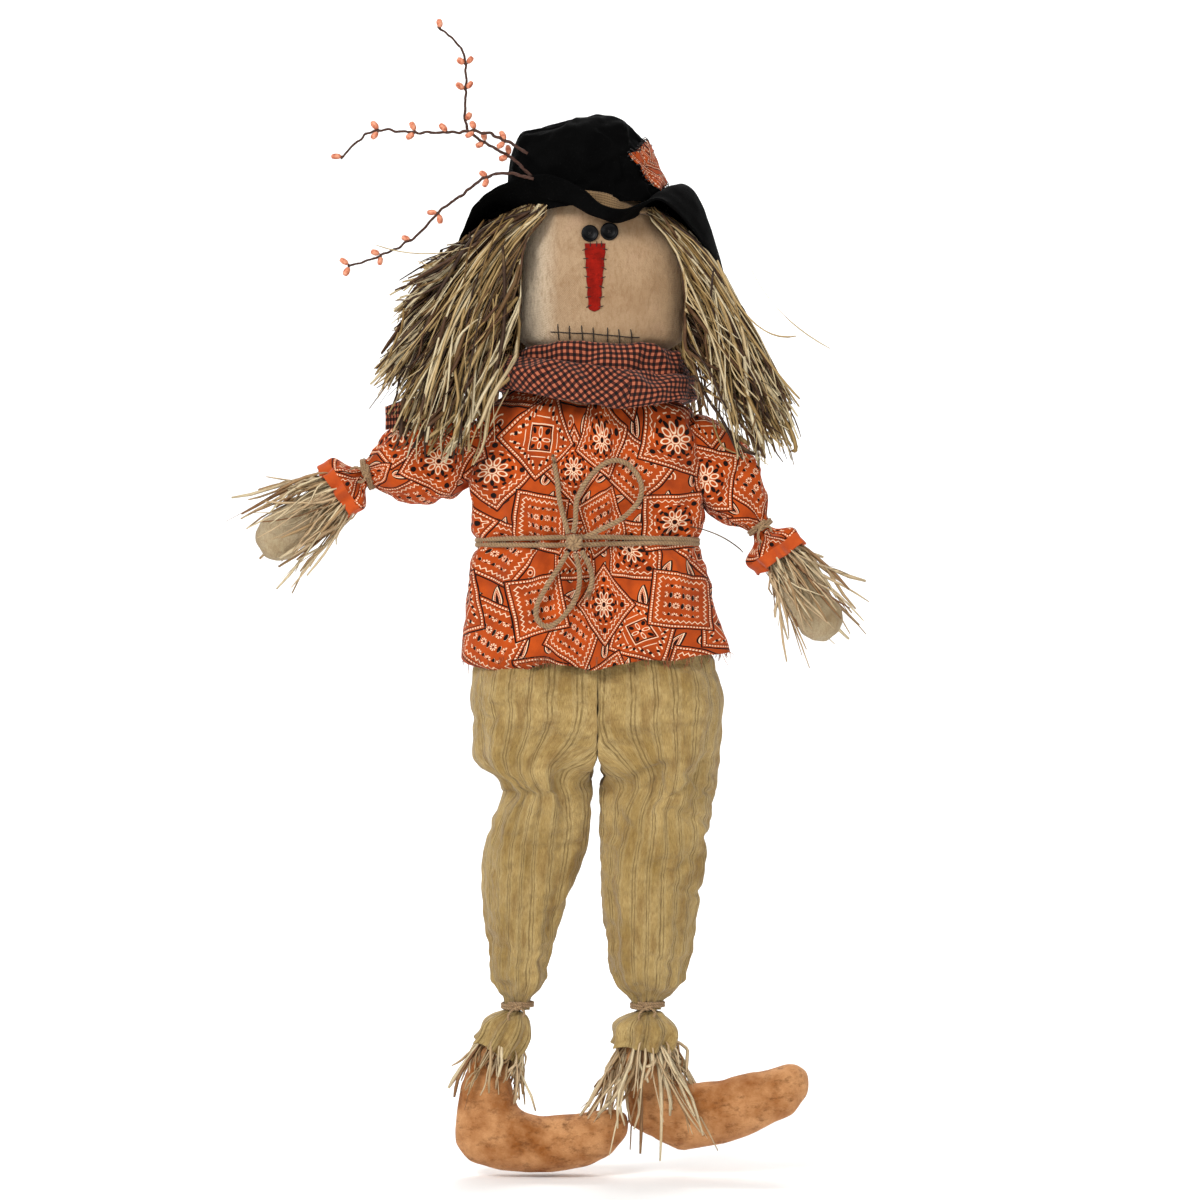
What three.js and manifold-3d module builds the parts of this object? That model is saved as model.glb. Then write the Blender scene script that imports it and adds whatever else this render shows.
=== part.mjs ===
// A stuffed scarecrow figure that hangs by a cord loop behind its hat.
// Millimetres, +Z up. The figure faces -Y, and its own right side is at -X.
// Heights are first counted from the lowest sole, and the finished figure is then moved
// so that the inside top of the hanging loop, where a hook bears, is the origin.

import * as THREE from "three";
import { LoftGeometry } from "three/addons/geometries/LoftGeometry.js";
import { mergeVertices } from "three/addons/utils/BufferGeometryUtils.js";
import Module from "manifold-3d";

const wasm = await Module();
wasm.setup();

// ---------------------------------------------------------------- driving dimensions

const GAP = 0.4; // air between pieces that touch on the real figure
const CLOTH = 2.5; // a sewn cloth skin with its seam allowance
const THIN = 1.8; // a single layer of gathered cloth
const SOFT = 2.3; // power of the rounded-square section that stuffed pieces have
const TWO_PI = 2 * Math.PI;

const LOOP = { x: 0, y: 74, bearing: 1042, root: 1000, halfWidth: 9, cord: 2.2 };
const NECK = { x: -4, halfWidth: 30, halfDepth: 25, low: 756, top: 796 };
const HIP = { z: 380, radius: 28 };
const BELT = { z: 630, cord: 3.2 };
const BROW = 962; // height where the hat's brim meets its crown
const HEM = 512; // lower edge of the shirt
const SEAT = 409; // underside of the seat

// Stations along each stuffed piece: [station, centre across, half width, half depth].
const HEAD = [
  [806, 4, 70, 44],
  [832, 6, 85, 54],
  [880, 8, 88, 58],
  [920, 7, 86, 58],
  [950, 2, 74, 52],
  [965, -1, 66, 49],
  [1006, -6, 50, 38],
];
const CROWN = [
  [BROW, -4, 80, 66],
  [985, -8, 77, 68],
  [1012, -12, 69, 65],
  [1035, -13, 65, 59],
  [1056, -10, 52, 44],
];
const SHIRT = [
  [HEM, 0, 125, 66],
  [560, -4, 121, 62],
  [BELT.z, -8, 115, 58],
  [690, -10, 121, 60],
  [730, -10, 118, 57],
  [750, -9, 98, 48],
  [759, -8, 66, 38],
];
const TORSO = [
  [SEAT + 8, 0, 108, 50],
  [450, -1, 116, 54],
  [507, -1, 114, 55],
  [560, -4, 112, 53],
  [BELT.z, -8, 110, 53],
  [690, -10, 115, 55],
  [730, -10, 111, 51],
  [754, -8, 62, 33],
];
const TROUSER_SEAT = [
  [SEAT, 0, 118, 56],
  [450, -1, 121, 59],
  [507, -1, 119, 60],
  [560, -4, 116, 57],
];
// The sleeves and arms: distance from the shoulder, then as above.
const SLEEVE = [
  [-27, 0, 14, 26],
  [-18, 0, 25, 29],
  [0, 0, 34, 31],
  [30, 0, 45, 34],
  [58, 0, 44, 34],
  [82, 0, 32, 27],
  [98, 0, 15, 13],
  [106, 0, 11, 10],
];
// The hands and what surrounds them: distance from the wrist tie.
const HAND = [
  [13, 0, 7, 6],
  [28, 0, 17, 15],
  [70, -2, 24, 20],
  [108, -4, 26, 21],
  [130, -4, 23, 18],
];
const CUFF = [
  [9, 0, 8.5, 8],
  [15, 0, 24, 21],
  [30, 0, 30, 25],
];
const WRIST_STRAW = [
  [31, 0, 28, 26],
  [80, 2, 37, 32],
  [122, 4, 42, 35],
];

const ARMS = {
  right: { x: -127, z: 724, side: -1, droop: 14.6, hand: 34, girth: 1, lowest: -44, highest: 15 },
  left: { x: 105, z: 730, side: 1, droop: 54.8, hand: 54.8, girth: 0.78, lowest: -10, highest: 44 },
};
const ARM_LENGTH = 107; // from shoulder to wrist tie
const ARM_WIRE = 1.2; // radius of the wire that lets an arm hold a pose

// The legs, by height: [height, centre across, half width, half depth].
const LEGS = {
  right: {
    thigh: -55,
    shape: [
      [352, -57, 48, 31],
      [322, -60, 47, 37],
      [272, -69, 40, 38],
      [222, -75, 30, 32],
      [190, -74, 26, 26],
      [174, -77.5, 13, 12],
      [164, -77.5, 11, 10],
    ],
    cuff: [
      [160, -78, 11, 10],
      [150, -86, 22, 19],
      [122, -100, 27, 24],
    ],
    straw: [
      [120, -101, 26, 23],
      [78, -103, 39, 31],
    ],
    shaft: [
      [154, -86, 12, 11],
      [122, -102, 17, 15],
      [90, -107, 26, 22],
      [58, -105, 33, 24],
      [22, -98, 24, 20],
    ],
    foot: [
      [-137, 48, 20, 12],
      [-125, 44, 33, 22],
      [-95, 36, 34, 25],
      [-50, 28, 28, 27],
      [-10, 33, 28, 28],
      [14, 40, 24, 22],
      [30, 48, 11, 11],
    ],
  },
  left: {
    thigh: 60,
    shape: [
      [352, 60, 51, 31],
      [322, 58, 49, 37],
      [272, 55, 44, 38],
      [222, 53, 35, 33],
      [190, 54, 31, 27],
      [174, 52.5, 15, 12],
      [164, 52.5, 12, 10],
    ],
    cuff: [
      [160, 52.5, 12, 10],
      [150, 50, 28, 22],
      [124, 47, 34, 26],
    ],
    straw: [
      [122, 47, 32, 25],
      [88, 49, 40, 31],
    ],
    shaft: [
      [154, 51, 14, 12],
      [122, 47.5, 22, 18],
      [100, 50, 25, 20],
      [70, 60, 26, 20],
      [42, 72, 20, 17],
    ],
    foot: [
      [34, 66, 16, 10],
      [45, 68, 27, 19],
      [85, 56, 36, 21],
      [125, 60, 33, 26],
      [165, 72, 30, 28],
      [195, 83, 27, 24],
      [211, 87, 12, 12],
    ],
  },
};

const COLOURS = {
  muslin: 0xc9a67e,
  button: 0x0c0c0e,
  thread: 0x15120f,
  felt: 0xc2261a,
  straw: 0xa69570,
  hatCloth: 0x131316,
  burlap: 0xb08a58,
  print: 0xd4551e,
  twig: 0x2e1a17,
  jute: 0xb59a72,
  gingham: 0x7d4038,
  stuffing: 0xe8e2d4,
  wire: 0x8c8f93,
  trousers: 0xb9a069,
  boot: 0xcd8249,
};

// ------------------------------------------------------------------ geometry helpers

const radians = (degrees) => (degrees * Math.PI) / 180;

/** The values of a station table at one station, straight between its rows. */
function valuesAt(table, station) {
  const rising = table[table.length - 1][0] > table[0][0];
  const rows = rising ? table : [...table].reverse();
  const next = rows.findIndex((row) => row[0] >= station);
  if (next === 0) return rows[0];
  if (next < 0) return rows[rows.length - 1];
  const low = rows[next - 1];
  const share = (station - low[0]) / (rows[next][0] - low[0]);
  return low.map((value, k) => value + (rows[next][k] - value) * share);
}

/** Half depth of a rounded-square section at a distance across from its middle. */
function depthAcross(across, halfWidth, halfDepth, power = SOFT) {
  const share = Math.min(1, Math.abs(across) / halfWidth);
  return halfDepth * (1 - share ** power) ** (1 / power);
}

/** How far the front of an upright piece stands out at x and z. */
function frontOf(table, x, z) {
  const [, centre, halfWidth, halfDepth] = valuesAt(table, z);
  return -depthAcross(x - centre, halfWidth, halfDepth);
}

const upright = (station, across, depth) => new THREE.Vector3(across, depth, station);
const lengthwise = (station, across, depth) => new THREE.Vector3(station, depth, across);

/** Places stations along a straight limb that starts at x, z and slopes down to one side. */
function alongLimb(x, z, side, slope) {
  const run = side * Math.cos(radians(slope));
  const fall = -Math.sin(radians(slope));
  return (station, across, depth) =>
    new THREE.Vector3(
      x + run * station - side * fall * across,
      depth,
      z + fall * station + side * run * across,
    );
}

/** One rounded-square ring of points. */
function ring(place, station, centre, halfWidth, halfDepth, sides, power = SOFT) {
  const points = [];
  for (let k = 0; k < sides; k += 1) {
    const turn = (k / sides) * TWO_PI;
    const c = Math.cos(turn);
    const s = Math.sin(turn);
    const across = centre + halfWidth * Math.sign(c) * Math.abs(c) ** (2 / power);
    const depth = halfDepth * Math.sign(s) * Math.abs(s) ** (2 / power);
    points.push(place(station, across, depth));
  }
  return points;
}

const END_TURNS = [0.4, 0.95]; // radians round a soft end at which its rings lie

/** The rings of a station table, grown or shrunk by a distance, with soft ends if asked. */
function ringsOf(place, table, { sides = 12, grow = 0, softStart = 0, softEnd = 0, power = SOFT } = {}) {
  const first = table[0][0];
  const last = table[table.length - 1][0];
  const way = Math.sign(last - first);
  const stops = [];
  if (softStart) {
    END_TURNS.forEach((turn) => {
      stops.push([first + way * softStart * (1 - Math.cos(turn)), Math.sin(turn)]);
    });
  }
  const low = first + way * softStart;
  const high = last - way * softEnd;
  stops.push([low, 1]);
  table.forEach(([station]) => {
    if ((station - low) * way > 0.5 && (high - station) * way > 0.5) stops.push([station, 1]);
  });
  stops.push([high, 1]);
  if (softEnd) {
    [...END_TURNS].reverse().forEach((turn) => {
      stops.push([last - way * softEnd * (1 - Math.cos(turn)), Math.sin(turn)]);
    });
  }
  return stops.map(([station, size]) => {
    const [, centre, halfWidth, halfDepth] = valuesAt(table, station);
    return ring(place, station, centre, (halfWidth + grow) * size, (halfDepth + grow) * size, sides, power);
  });
}

/** Turns a closed geometry's faces outwards if they point in. */
function facingOut(geometry) {
  const position = geometry.getAttribute("position");
  const index = geometry.getIndex();
  const [a, b, c] = [new THREE.Vector3(), new THREE.Vector3(), new THREE.Vector3()];
  let volume = 0;
  for (let k = 0; k < index.count; k += 3) {
    a.fromBufferAttribute(position, index.getX(k));
    b.fromBufferAttribute(position, index.getX(k + 1));
    c.fromBufferAttribute(position, index.getX(k + 2));
    volume += a.dot(b.cross(c));
  }
  if (volume > 0) return geometry;
  for (let k = 0; k < index.count; k += 3) {
    const second = index.getX(k + 1);
    index.setX(k + 1, index.getX(k + 2));
    index.setX(k + 2, second);
  }
  return geometry;
}

/** The middle of a ring of points. */
const middleOf = (points) =>
  points.reduce((sum, point) => sum.add(point), new THREE.Vector3()).divideScalar(points.length);

/** A solid skinned over rings and closed at both ends. */
function filled(rings) {
  const middle = middleOf(rings[0]);
  const onward = middleOf(rings[1]).sub(middle);
  const normal = new THREE.Vector3();
  rings[0].forEach((point, k) => {
    const next = rings[0][(k + 1) % rings[0].length];
    normal.add(point.clone().sub(middle).cross(next.clone().sub(middle)));
  });
  const wound = normal.dot(onward) > 0 ? rings : rings.map((points) => [...points].reverse());
  return new LoftGeometry(wound, { capStart: true, capEnd: true });
}

/** A solid whose rings come back to the first one, such as a tube bent into a hoop. */
const hoop = (rings) => facingOut(new LoftGeometry([...rings, rings[0]]));

/** A stuffed piece. */
const stuffed = (place, table, options) => filled(ringsOf(place, table, options));

/** A cloth skin that is open at both ends. */
function skin(place, table, thickness = CLOTH, options = {}) {
  const inner = ringsOf(place, table, { ...options, grow: (options.grow ?? 0) - thickness });
  return hoop([...ringsOf(place, table, options), ...inner.reverse()]);
}

/** A round cord along a smooth open line. */
function cord(points, radius, steps, sides = 8) {
  const section = new THREE.Shape();
  section.absarc(0, 0, radius, 0, TWO_PI);
  return new THREE.ExtrudeGeometry(section, {
    extrudePath: new THREE.CatmullRomCurve3(points),
    steps,
    curveSegments: sides / 2,
    bevelEnabled: false,
  });
}

/** A round cord tied into a hoop round a rounded-square section. */
function tie(place, station, centre, halfWidth, halfDepth, radius, steps = 12, sides = 5) {
  const line = ring(place, station, centre, halfWidth + radius, halfDepth + radius, steps);
  const middle = place(station, centre, 0);
  const axis = place(station + 1, centre, 0).sub(middle);
  return hoop(
    line.map((point) => {
      const out = point.clone().sub(middle).normalize();
      return Array.from({ length: sides }, (_, k) => {
        const turn = (k / sides) * TWO_PI;
        return point
          .clone()
          .addScaledVector(out, radius * Math.cos(turn))
          .addScaledVector(axis, radius * Math.sin(turn));
      });
    }),
  );
}

/** A thin panel: u and v run over its face and w, from 0 to 1, through its thickness. */
function panel(stepsU, stepsV, map) {
  const geometry = new THREE.BoxGeometry(1, 1, 1, stepsU, 1, stepsV);
  const position = geometry.getAttribute("position");
  for (let k = 0; k < position.count; k += 1) {
    const point = map(position.getX(k) + 0.5, position.getZ(k) + 0.5, position.getY(k) + 0.5);
    position.setXYZ(k, point.x, point.y, point.z);
  }
  return facingOut(geometry);
}

/** A geometry as a solid that can be joined and cut. */
function solid(geometry) {
  const bare = new THREE.BufferGeometry();
  bare.setAttribute("position", geometry.getAttribute("position"));
  bare.setIndex(geometry.getIndex());
  const merged = mergeVertices(bare, 1e-3);
  return new wasm.Manifold(
    new wasm.Mesh({
      numProp: 3,
      vertProperties: new Float32Array(merged.getAttribute("position").array),
      triVerts: new Uint32Array(merged.getIndex().array),
    }),
  );
}

/** A joined or cut solid as a geometry again. */
function geometryOf(body) {
  const { vertProperties, triVerts } = body.getMesh();
  const geometry = new THREE.BufferGeometry();
  geometry.setAttribute("position", new THREE.BufferAttribute(new Float32Array(vertProperties), 3));
  geometry.setIndex(new THREE.BufferAttribute(new Uint32Array(triVerts), 1));
  geometry.computeVertexNormals();
  return geometry;
}

const joined = (geometries) => geometryOf(geometries.map(solid).reduce((all, next) => all.add(next)));
const cut = (geometry, tools) =>
  geometryOf(tools.map(solid).reduce((left, tool) => left.subtract(tool), solid(geometry)));

// ------------------------------------------------------------------------- the model

const figure = new THREE.Group();
figure.position.set(-LOOP.x, -LOOP.y, -LOOP.bearing);

/** Adds one named piece. */
function add(name, geometry, colour, roughness = 0.9, metalness = 0) {
  const material = new THREE.MeshStandardMaterial({ color: colour, roughness, metalness });
  const mesh = new THREE.Mesh(geometry, material);
  mesh.name = name;
  figure.add(mesh);
}

// ------------------------------------------------------------------------------ head

/** A flat face part, bent to the front of the head and lifted off it. */
function onFace(geometry, lift) {
  const position = geometry.getAttribute("position");
  for (let k = 0; k < position.count; k += 1) {
    const [x, z] = [position.getX(k), position.getZ(k)];
    position.setY(k, position.getY(k) + frontOf(HEAD, x, z) - lift);
  }
  return geometry;
}

/** A short straight stitch in the X-Z plane. */
function stitch(x, z, length, slope, thread) {
  const bar = new THREE.BoxGeometry(length, thread, thread, Math.ceil(length / 22), 1, 1);
  bar.rotateY(-radians(slope));
  bar.translate(x, 0, z);
  return bar;
}

/** A sewn-on button with a raised rim, its face towards -Y. */
function addButton(side, x, z, radius) {
  const [rim, thick, dish, lift] = [1.6, 4, 1.2, 3.4];
  const profile = [
    [0, 0],
    [radius, 0],
    [radius, thick - 1],
    [radius - rim / 2, thick],
    [radius - rim, thick],
    [radius - rim - 0.8, thick - dish],
    [0, thick - dish],
  ].map(([r, h]) => new THREE.Vector2(r, h));
  const button = new THREE.LatheGeometry(profile, 14);
  button.rotateX(Math.PI);
  button.translate(x, frontOf(HEAD, x, z) - lift, z);
  add(`eye_button_${side}`, facingOut(button), COLOURS.button, 0.2);
}

function addNose() {
  const [top, bottom, halfTop, halfTip] = [923, 856, 10.5, 5.5];
  const centre = 0;
  const thick = 2;
  const halfAt = (share) => halfTip + (halfTop - halfTip) * share;
  const nose = panel(3, 8, (u, v, w) => {
    const round = Math.sqrt(1 - (1 - Math.min(1, v / 0.06 + 0.25)) ** 2);
    const across = centre + (2 * u - 1) * halfAt(v) * round;
    return new THREE.Vector3(across, -w * thick, bottom + (top - bottom) * v);
  });
  add("nose", facingOut(onFace(nose, 1.5)), COLOURS.felt);

  const [count, length, thread] = [6, 6, 1.2];
  const stitches = [];
  [-1, 1].forEach((side) => {
    const lean = side * 4.3;
    const x = centre + (side * (halfTop + halfTip - 1)) / 2;
    const edge = stitch(x, (top + bottom) / 2, top - bottom - 8, 90 - lean, thread);
    stitches.push(edge);
    for (let k = 0; k < count; k += 1) {
      const share = (k + 0.5) / count;
      const z = bottom + (top - bottom) * share;
      stitches.push(stitch(centre + side * halfAt(share), z, length, 0, thread));
    }
  });
  stitches.push(stitch(centre, top - 5, 2 * halfTop - 4, 0, thread));
  add("nose_stitches", onFace(joined(stitches), 4.9), COLOURS.thread);
}

function addMouth() {
  const [left, right, height, thread, length] = [-44, 44, 833, 1.4, 15];
  const stitches = [stitch((left + right) / 2, height, right - left, -3.9, thread)];
  for (let k = 0; k < 7; k += 1) {
    const x = -36 + k * 12;
    stitches.push(stitch(x, height - x * 0.068, length, 90, thread));
  }
  add("mouth_stitches", onFace(joined(stitches), 1.8), COLOURS.thread);
}

function addHead() {
  add("head", stuffed(upright, HEAD, { sides: 18, softStart: 22, softEnd: 18 }), COLOURS.muslin);
  addButton("right", -5, 933, 8.5);
  addButton("left", 14.3, 935, 9);
  addNose();
  addMouth();
}

// ------------------------------------------------------------------------------- hat

/** A point on the crown's outside at a turn round it, moved out by a distance. */
function onCrown(turn, z, out) {
  const [, centre, halfWidth, halfDepth] = valuesAt(CROWN, z);
  const c = Math.cos(turn);
  const s = Math.sin(turn);
  const across = (halfWidth + out) * Math.sign(c) * Math.abs(c) ** (2 / SOFT);
  const depth = (halfDepth + out) * Math.sign(s) * Math.abs(s) ** (2 / SOFT);
  return new THREE.Vector3(centre + across, depth, z);
}

function addCrown() {
  const options = { sides: 16, softEnd: 12 };
  const room = CROWN.map(([z, ...rest]) => [z - CLOTH, ...rest]);
  const inside = stuffed(upright, room, { ...options, grow: -CLOTH });
  add("hat_crown", cut(stuffed(upright, CROWN, options), [inside]), COLOURS.hatCloth, 0.95);
  const wad = [
    [1010, -8, 48, 42],
    [1048, -11, 46, 40],
  ];
  add("hat_stuffing", stuffed(upright, wad, { softStart: 10, softEnd: 14 }), COLOURS.stuffing);
}

/** Height of the brim above its root at a turn round the crown, out share 0 to 1. */
function brimRise(turn, out) {
  const right = Math.max(0, Math.cos(turn));
  const left = Math.max(0, -Math.cos(turn));
  const front = Math.max(0, -Math.sin(turn));
  const rise = 16 * front * out ** 2 - 34 * left ** 1.5 * out;
  const lobe = right ** 2 * (34 * out - 96 * out ** 2);
  return rise + lobe - 10 * Math.max(0, Math.sin(turn)) * out;
}

function addBrim() {
  const [turns, steps, thick] = [24, 3, 3];
  const [reachX, reachY] = [53, 40];
  const rings = [];
  for (let k = 0; k < turns; k += 1) {
    const turn = (k / turns) * TWO_PI;
    const point = (out, lift) => {
      const root = onCrown(turn, BROW, 1);
      const spread = new THREE.Vector3(Math.cos(turn) * reachX * out, Math.sin(turn) * reachY * out, 0);
      return root.add(spread).setZ(BROW - 4 + brimRise(turn, out) + lift);
    };
    const section = [];
    for (let s = 0; s <= steps; s += 1) section.push(point(s / steps, 0));
    for (let s = steps; s >= 0; s -= 1) section.push(point(s / steps, thick));
    rings.push(section);
  }
  add("hat_brim", hoop(rings), COLOURS.hatCloth, 0.95);
}

function addBand() {
  const [bottom, top, thick] = [BROW + 4, BROW + 17, 1.5];
  const turns = 22;
  const rings = [];
  for (let k = 0; k < turns; k += 1) {
    const turn = (k / turns) * TWO_PI;
    const near = GAP + 1;
    rings.push([
      onCrown(turn, bottom, near),
      onCrown(turn, top, near),
      onCrown(turn, top, near + thick),
      onCrown(turn, bottom, near + thick),
    ]);
  }
  add("hat_band", hoop(rings), COLOURS.burlap);
}

function addPatch() {
  const [low, high] = [BROW + 22, BROW + 66];
  const thick = 1;
  const turnAt = (u, v) => radians(-62 + 44 * u - 6 * v);
  const patch = panel(6, 4, (u, v, w) => onCrown(turnAt(u, v), low + (high - low) * v, 1 + w * thick));
  add("hat_patch", patch, COLOURS.print);

  const [count, length, thread] = [6, 8, 1];
  const bar = (turn, z, dTurn, dZ) =>
    panel(2, 2, (u, v, w) => onCrown(turn + dTurn * (u - 0.5), z + dZ * (v - 0.5), 2.6 + w * thread));
  const edge = radians(-61);
  const threads = [bar(edge, (low + high) / 2, thread / 60, high - low - 4)];
  for (let k = 0; k < count; k += 1) {
    const z = low + ((high - low - 4) * (k + 0.5)) / count + 2;
    threads.push(bar(edge, z, length / 60, thread));
  }
  add("hat_patch_stitches", joined(threads), COLOURS.thread);
}

// ----------------------------------------------------------------------------- twigs

const BERRY = { long: 5, thick: 3.2 };
const TWIG = 1.5; // radius of the wrapped wire

/** One berry, leaning off the wire to one side. */
function berry(point, lean, side) {
  const body = new THREE.SphereGeometry(1, 5, 3);
  body.scale(BERRY.thick, BERRY.thick, BERRY.long);
  body.rotateY(lean);
  const reach = BERRY.long * 0.75;
  body.translate(point.x + reach * Math.sin(lean), point.y + side, point.z + reach * Math.cos(lean));
  return body;
}

/** A bent wire with pairs of berries at shares of its length. */
function addTwig(name, points, shares) {
  const line = points.map(([x, y, z]) => new THREE.Vector3(x, y, z));
  const curve = new THREE.CatmullRomCurve3(line);
  const pieces = [cord(line, TWIG, 14, 5)];
  shares.forEach((share, k) => {
    const point = curve.getPoint(share);
    const along = curve.getTangent(share);
    const heading = Math.atan2(along.x, along.z);
    pieces.push(berry(point, heading + 0.9, 1.2));
    if (k % 3 !== 2) pieces.push(berry(point, heading - 0.9, -1.2));
  });
  add(name, joined(pieces), COLOURS.twig, 0.8);
}

function addTwigs() {
  addTwig(
    "twig_upper",
    [
      [-62, -60, 988],
      [-82, -56, 1007],
      [-108, -54, 1022],
      [-126, -52, 1037],
      [-128, -50, 1060],
      [-127, -48, 1084],
      [-130, -47, 1112],
      [-143, -46, 1128],
      [-155, -46, 1138],
    ],
    [0.2, 0.36, 0.52, 0.72, 0.99],
  );
  addTwig(
    "twig_middle",
    [
      [-66, -66, 1010],
      [-90, -66, 1024],
      [-116, -64, 1032],
      [-150, -62, 1031],
      [-185, -60, 1032],
      [-214, -58, 1034],
      [-235, -57, 1022],
      [-250, -56, 1006],
    ],
    [0.12, 0.34, 0.46, 0.6, 0.8, 0.99],
  );
  addTwig(
    "twig_lower",
    [
      [-60, -76, 984],
      [-85, -72, 990],
      [-106, -68, 987],
      [-128, -62, 972],
      [-152, -56, 955],
      [-176, -50, 931],
      [-200, -46, 917],
      [-222, -44, 908],
      [-244, -42, 902],
    ],
    [0.3, 0.5, 0.68, 0.84, 0.99],
  );
}

// ------------------------------------------------------------------------ hanging loop

function addHanger() {
  const { x, y, bearing, root, halfWidth, cord: radius } = LOOP;
  const crest = bearing + radius;
  const shoulder = crest - halfWidth;
  const points = [
    new THREE.Vector3(x - halfWidth, y, root),
    new THREE.Vector3(x - halfWidth, y, (root + shoulder) / 2),
    new THREE.Vector3(x - halfWidth, y, shoulder),
    new THREE.Vector3(x, y, crest),
    new THREE.Vector3(x + halfWidth, y, shoulder),
    new THREE.Vector3(x + halfWidth, y, (root + shoulder) / 2),
    new THREE.Vector3(x + halfWidth, y, root),
  ];
  add("hanging_loop", cord(points, radius, 16), COLOURS.jute);
  const tab = new THREE.BoxGeometry(28, 1.5, 22);
  tab.translate(x, y + radius + GAP + 0.75, root + 4);
  add("loop_tab", tab, COLOURS.hatCloth);
}

// ------------------------------------------------------------------------------ hair

/** A bundle of straw from rows of [height, x from, x to, y from, y to]. */
function bundle(rows) {
  return filled(
    rows.map(([z, x0, x1, y0, y1]) => {
      const middle = (y0 + y1) / 2;
      const place = (station, across, depth) => new THREE.Vector3(across, middle + depth, station);
      return ring(place, z, (x0 + x1) / 2, (x1 - x0) / 2, (y1 - y0) / 2, 12, 2.6);
    }),
  );
}

function addHair() {
  const right = [
    [928, -108, -86, -48, 44],
    [900, -142, -90, -60, 50],
    [860, -168, -90, -68, 52],
    [815, -192, -92, -78, 48],
    [788, -200, -108, -84, 34],
    [780, -204, -106, -88, -56],
    [735, -208, -92, -90, -60],
    [702, -196, -108, -88, -63],
  ];
  const left = [
    [912, 96, 112, -46, 40],
    [880, 98, 142, -58, 48],
    [835, 100, 176, -72, 50],
    [790, 104, 198, -82, 36],
    [780, 106, 200, -88, -54],
    [735, 116, 204, -90, -58],
    [704, 138, 196, -86, -61],
  ];
  const back = [
    [936, -66, 74, 60, 78],
    [890, -92, 98, 64, 96],
    [830, -106, 110, 72, 102],
    [788, -104, 108, 87, 106],
    [745, -98, 104, 92, 108],
  ];
  add("hair_right", bundle(right), COLOURS.straw);
  add("hair_left", bundle(left), COLOURS.straw);
  add("hair_back", bundle(back), COLOURS.straw);
}

// ----------------------------------------------------------------- torso, shirt, scarf

/** The room that an arm needs, from its lowest to its highest pose. */
function armSweep({ x, z, side, droop, girth, lowest, highest }) {
  const steps = 3;
  const sweep = [];
  for (let k = 0; k <= steps; k += 1) {
    const raised = lowest + ((highest - lowest) * k) / steps;
    const table = SLEEVE.map(([s, c, w, d]) => [s < -20 ? s - 2 : s, c, w * girth, d * girth]);
    sweep.push(stuffed(alongLimb(x, z, side, droop - raised), table, { sides: 8, grow: 3.4, power: 2.8 }));
  }
  return sweep;
}

function addTorso() {
  const armholes = Object.values(ARMS).flatMap(armSweep);
  const body = stuffed(upright, TORSO, { sides: 16, softStart: 14, softEnd: 8 });
  add("torso", cut(body, armholes), COLOURS.stuffing);
  add("shirt_body", cut(skin(upright, SHIRT, CLOTH, { sides: 16 }), armholes), COLOURS.print);
  const neck = [
    [NECK.low, NECK.x, NECK.halfWidth, NECK.halfDepth],
    [NECK.top, NECK.x, NECK.halfWidth, NECK.halfDepth],
  ];
  add("neck", stuffed(upright, neck, { softEnd: 8 }), COLOURS.muslin);
}

function addScarf() {
  const roll = [
    [786, -2, 88, 70],
    [794, 0, 92, 74],
    [802, 2, 86, 70],
  ];
  add("scarf_roll", skin(upright, roll, 42, { sides: 14 }), COLOURS.gingham);
  const drape = [
    [761, -4, 96, 78],
    [770, -4, 100, 82],
    [785, -3, 88, 72],
  ];
  add("scarf_drape", skin(upright, drape, 34, { sides: 14 }), COLOURS.gingham);
  const [near, far] = [new THREE.Vector3(-106, -45, 768), new THREE.Vector3(-203, -44, 757)];
  const tail = panel(6, 2, (u, v, w) =>
    near.clone().lerp(far, u).add(new THREE.Vector3((v - 0.5) * 8, w * 2, (v - 0.5) * (16 + 8 * u))),
  );
  add("scarf_tail", tail, COLOURS.gingham);
}

// ------------------------------------------------------------------------ belt and bow

function addBelt() {
  const [, centre, halfWidth, halfDepth] = valuesAt(SHIRT, BELT.z);
  const [wide, deep] = [halfWidth + GAP, halfDepth + GAP + 0.6];
  add("belt_cord", tie(upright, BELT.z, centre, wide, deep, BELT.cord, 24), COLOURS.jute);
  const knot = new THREE.SphereGeometry(1, 8, 6);
  knot.scale(9, 6, 8);
  knot.translate(-20, -75, 628);
  add("belt_knot", knot, COLOURS.jute);
}

// Routes of the bow's cords, from the knot outwards.
const BOW = {
  bow_loop_upper: [
    [-21, -76, 637.5],
    [-19, -74, 650],
    [-17, -70, 672],
    [-4, -67, 694],
    [14, -66, 708],
    [31, -66, 706],
    [44, -66, 690],
    [44, -67, 671],
    [28, -69, 653],
    [8, -73, 642],
    [-9.5, -75.5, 633.5],
  ],
  bow_tail_upper: [
    [-26, -75.5, 637],
    [-31, -71, 655],
    [-35, -67, 672],
    [-37, -66, 690],
    [-40, -66, 706],
  ],
  bow_loop_lower: [
    [-26.5, -75.5, 619],
    [-36, -70, 603],
    [-48, -68, 584],
    [-57, -67, 566],
    [-56, -67, 552],
    [-45, -67, 546],
    [-30, -67, 557],
    [-18, -68, 576],
    [-15, -70, 597],
    [-19, -75, 617.5],
  ],
  bow_tail_lower: [
    [-13, -75.5, 620],
    [-8, -72, 611],
    [-4, -69, 601],
    [-3, -67, 590],
    [-6, -67, 580],
  ],
};
const BOW_CORD = 2.7; // radius

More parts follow.
